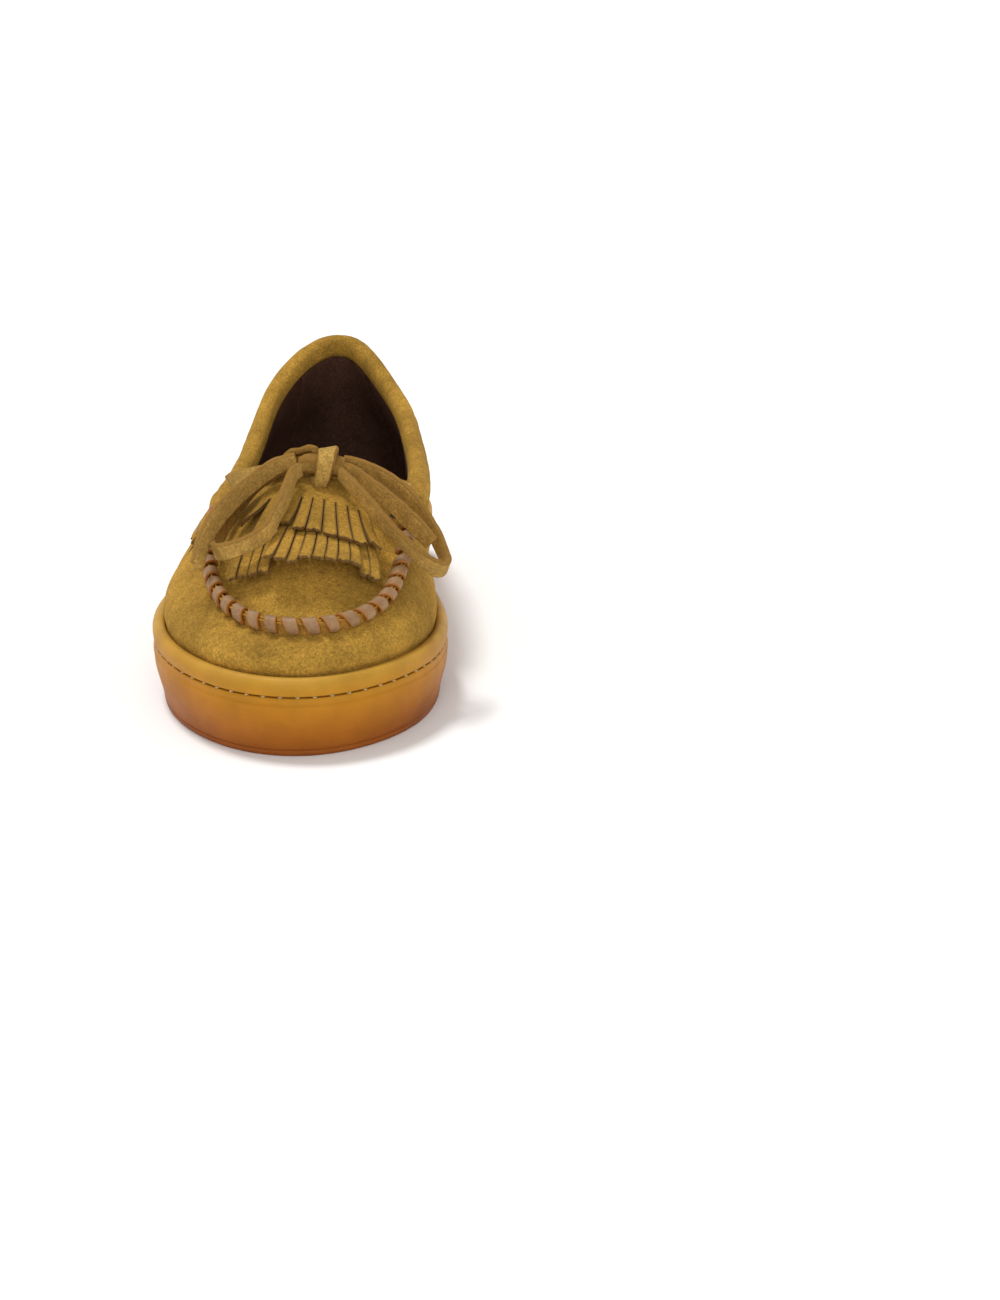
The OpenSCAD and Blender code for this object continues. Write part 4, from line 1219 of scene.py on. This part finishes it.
def fringe(name, node, strips, d0, slit, ride=0.0):
    """A flap cut into strips: (reach, lift, twist, sway, gap on its left) each; ride lifts them together."""
    soup = Soup()
    n = len(strips)
    rows, across = 26, 7
    root = np.linspace(0, slit + 0.004, 10)[None]
    a = np.linspace(-1, 1, 60)[:, None]
    aa, bb = (x.copy() for x in np.broadcast_arrays(a, root))
    wave = 0.12 * bumpy(flap(aa, bb, np.full_like(aa, d0)), 7)
    soup.shell(flap(aa, bb, d0 + FLAP_T + wave), flap(aa, bb, d0 + wave), edge=np.zeros(aa.shape))
    for i, (reach, lift, twist, sway, gap) in enumerate(strips):
        lo, hi = -1 + (2 * i + gap) / n, -1 + (2 * i + 1.93) / n
        b = np.linspace(slit, reach, rows)[None]
        k = np.linspace(0, 1, across)[:, None]
        s = (b - slit) / (reach - slit)
        grow = s**1.5
        av = mix(lo, hi, k) + sway * grow / n
        jag = 0.024 * bumpy(np.stack([k * 9 + i * 5, k * 0, k * 0 + d0], -1), 2.2)
        av, bv = (x.copy() for x in np.broadcast_arrays(av, b + jag * s**6))
        below = (np.maximum(b - SLIT_LOWER, 0) / (1 - SLIT_LOWER)) ** 1.5
        stand = lift * grow + twist * grow * (k - 0.5) * 2 + ride * (i > 1) * below
        stand = stand + 0.1 * bumpy(np.stack([av * 30, bv * 60, av * 0 + d0], -1), 5, i)
        edge = np.zeros(av.shape)
        edge[[0, -1]] = 1
        edge[:, -1] = 1
        soup.shell(flap(av, bv, d0 + FLAP_T + stand), flap(av, bv, d0 + stand), edge=edge)
    soup.make(name, M_SUEDE_CUT, "kiltie", replaces=[node], slot="suede", sharp=45)


LOWER = [
    (1.0, 0.2, 0.3, 0.0, 0.1), (1.0, 0.1, -0.2, 0.1, 0.1), (1.0, 0.3, 0.3, 0.0, 0.12),
    (0.985, 0.2, -0.3, 0.0, 0.1), (0.97, 7.0, 0.5, 0.0, 0.16), (0.99, 6.6, -0.4, 0.0, 0.1),
    (1.0, 5.8, 0.6, -0.1, 0.12), (0.975, 7.0, -0.4, 0.0, 0.1), (0.96, 7.0, 0.3, 0.1, 0.1),
    (0.945, 6.6, -0.3, 0.0, 0.14), (0.925, 6.2, 0.3, 0.05, 0.1), (0.91, 5.6, -0.4, 0.0, 0.1),
    (0.875, 0.5, 0.3, 0.1, 0.14), (0.87, 0.3, 0.2, 0.0, 0.1),
]
UPPER = [
    (0.54, 2.4, 1.2, -0.5, 0.1), (0.68, 0.2, -0.4, -0.3, 0.35), (0.60, 1.4, 0.3, -0.3, 0.25),
    (0.61, 1.2, -0.2, -0.3, 0.03), (0.66, 0.9, 0.5, 0.0, 0.22), (0.66, 0.5, -0.3, 0.0, 0.1),
    (0.675, 0.4, 0.2, 0.1, 0.12), (0.68, 0.6, -0.2, 0.1, 0.1), (0.67, 0.5, 0.3, 0.0, 0.16),
    (0.62, 0.8, -0.4, 0.2, 0.12),
]
fringe("kiltie_lower_suede", "kiltie_lower", LOWER, 0.4, SLIT_LOWER)
fringe("kiltie_upper_suede", "kiltie_upper", UPPER, 0.6 + FLAP_T, SLIT_UPPER, ride=7.2)

# ------------------------------------------------------------------ knot and lace runs


def knot():
    """The lace's turn round the middle of the bow: a strap wound over the strands and tucked in below."""
    soup = Soup()
    turn = spline([
        [9.6, -59.6, 74.6], [10.0, -57.6, 76.6], [10.8, -57.0, 79.6], [11.4, -58.3, 82.6],
        [11.6, -61.2, 84.4], [11.4, -64.4, 83.6], [10.9, -66.6, 80.8], [10.2, -67.4, 77.6],
        [9.3, -67.2, 74.8], [8.3, -66.0, 73.2], [7.4, -63.8, 73.8], [6.8, -62.4, 74.9],
    ], 90)
    s = np.linspace(0, 1, len(turn))
    widths = interp(s, [0, 0.2, 0.4, 0.55, 0.75, 1.0], [0.75, 0.95, 1.1, 1.0, 0.86, 0.55])
    strap(soup, turn, [1, 0.0, 0.15], LACE_W, 1.9, 0.6, widths=widths, ragged=0.28, seed=5)
    core = spline([
        [1.8, -61, 79.2], [5, -61.5, 79.5], [9, -61.8, 79.2], [13, -61.4, 79.0], [16.2, -61, 78.2],
    ], 30)
    widths = mix(0.8, 1, smooth(np.linspace(0, 4, len(core))))
    strap(soup, core, [0, -0.3, 1], 7.0, 5.4, 2.2, widths=widths, ragged=0.4, seed=11)
    crumple = spline([
        [8.0, -58.5, 82.2], [4.6, -57.6, 83.8], [1.4, -57.4, 82.9], [-1.6, -57.8, 81.8],
        [-4.6, -58.6, 79.4],
    ], 36)
    widths = 0.85 + 0.16 * np.sin(np.linspace(0, 11, len(crumple)))
    strap(soup, crumple, [0.1, -0.75, 0.65], 5.8, 1.7, 0.5, widths=widths, ragged=0.55, seed=14)
    soup.make("bow_knot_lace", M_LACE, "kiltie", replaces=["bow_knot"], slot="suede_lace", sharp=60)


knot()

RUNS = {
    "lace_run_medial": (
        [[37, -37, 64.5], [36, -40, 66], [33.5, -44, 67.5], [30, -48, 69], [26, -51, 71],
         [22, -52.5, 72.5], [18.5, -54.5, 74.6], [15.5, -57, 76.6], [13, -59.5, 78.2]],
        [0.6, 0.8, 0.5]),
    "lace_run_lateral": (
        [[-27.5, -27, 65], [-27, -30, 66], [-25.5, -34, 67.5], [-22, -39, 69.5], [-17.5, -44, 71.5],
         [-12.5, -48.5, 73.5], [-8.5, -50.5, 74.6], [-3, -54.5, 76.6], [2, -58, 78.6]],
        [-0.6, 0.8, 0.5]),
}
for name, (route, wide) in RUNS.items():
    soup = Soup()
    strap(soup, spline(route, 90), wide, 5.6, 1.8, 0.45, ragged=0.16, seed=len(name))
    run = soup.make(name + "_lace", M_LACE, None, replaces=[name], slot="suede_lace", sharp=60)
    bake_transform(run)

# ------------------------------------------------------------------ floor and light


LIGHTS = (("key", (-0.33, 0.3, 1.3), 1.7, 14), ("fill", (0.15, -1.2, 0.85), 0.7, 45))
SHOE_MIDDLE = Vector((0, 0, 0.04))


def stage():
    """A pale floor that sweeps up all round like a dish, under an even sky and two very soft suns."""
    flat, bend, slope, reach, sides = 3.0, 4.0, math.radians(22), 20.0, 96
    curve = [(flat + bend * math.sin(a), bend * (1 - math.cos(a))) for a in np.linspace(0, slope, 9)]
    line = curve + [(curve[-1][0] + reach * math.cos(slope), curve[-1][1] + reach * math.sin(slope))]
    turns = np.linspace(0, 2 * np.pi, sides, endpoint=False)
    verts = [(0, 0, 0)] + [(r * math.sin(a), r * math.cos(a), z) for a in turns for r, z in line]
    faces = [[0, 1 + (i + 1) % sides * len(line), 1 + i * len(line)] for i in range(sides)]
    faces += grid_faces(sides, len(line), wrap=True, start=1)
    mesh = bpy.data.meshes.new("floor")
    mesh.from_pydata(verts, [], faces)
    mesh.polygons.foreach_set("use_smooth", np.ones(len(faces), bool))
    floor = bpy.data.objects.new("floor", mesh)
    bpy.context.scene.collection.objects.link(floor)
    m = Shader("floor", 0.8, Specular_IOR_Level=0.1)
    m.p.inputs["Base Color"].default_value = (0.96, 0.96, 0.955, 1)
    mesh.materials.append(m.m)
    world = bpy.data.worlds.new("studio")
    bpy.context.scene.world = world
    world.use_nodes = True
    back = world.node_tree.nodes["Background"]
    back.inputs["Color"].default_value = (1.0, 1.0, 1.0, 1)
    back.inputs["Strength"].default_value = 0.5
    for name, place, power, spread in LIGHTS:
        light = bpy.data.lights.new(name, "SUN")
        light.energy = power
        light.angle = math.radians(spread)
        lamp = bpy.data.objects.new(name, light)
        lamp.location = place
        lamp.rotation_euler = (SHOE_MIDDLE - Vector(place)).to_track_quat("-Z", "Y").to_euler()
        bpy.context.scene.collection.objects.link(lamp)
    bpy.context.scene.view_settings.view_transform = "Standard"


stage()
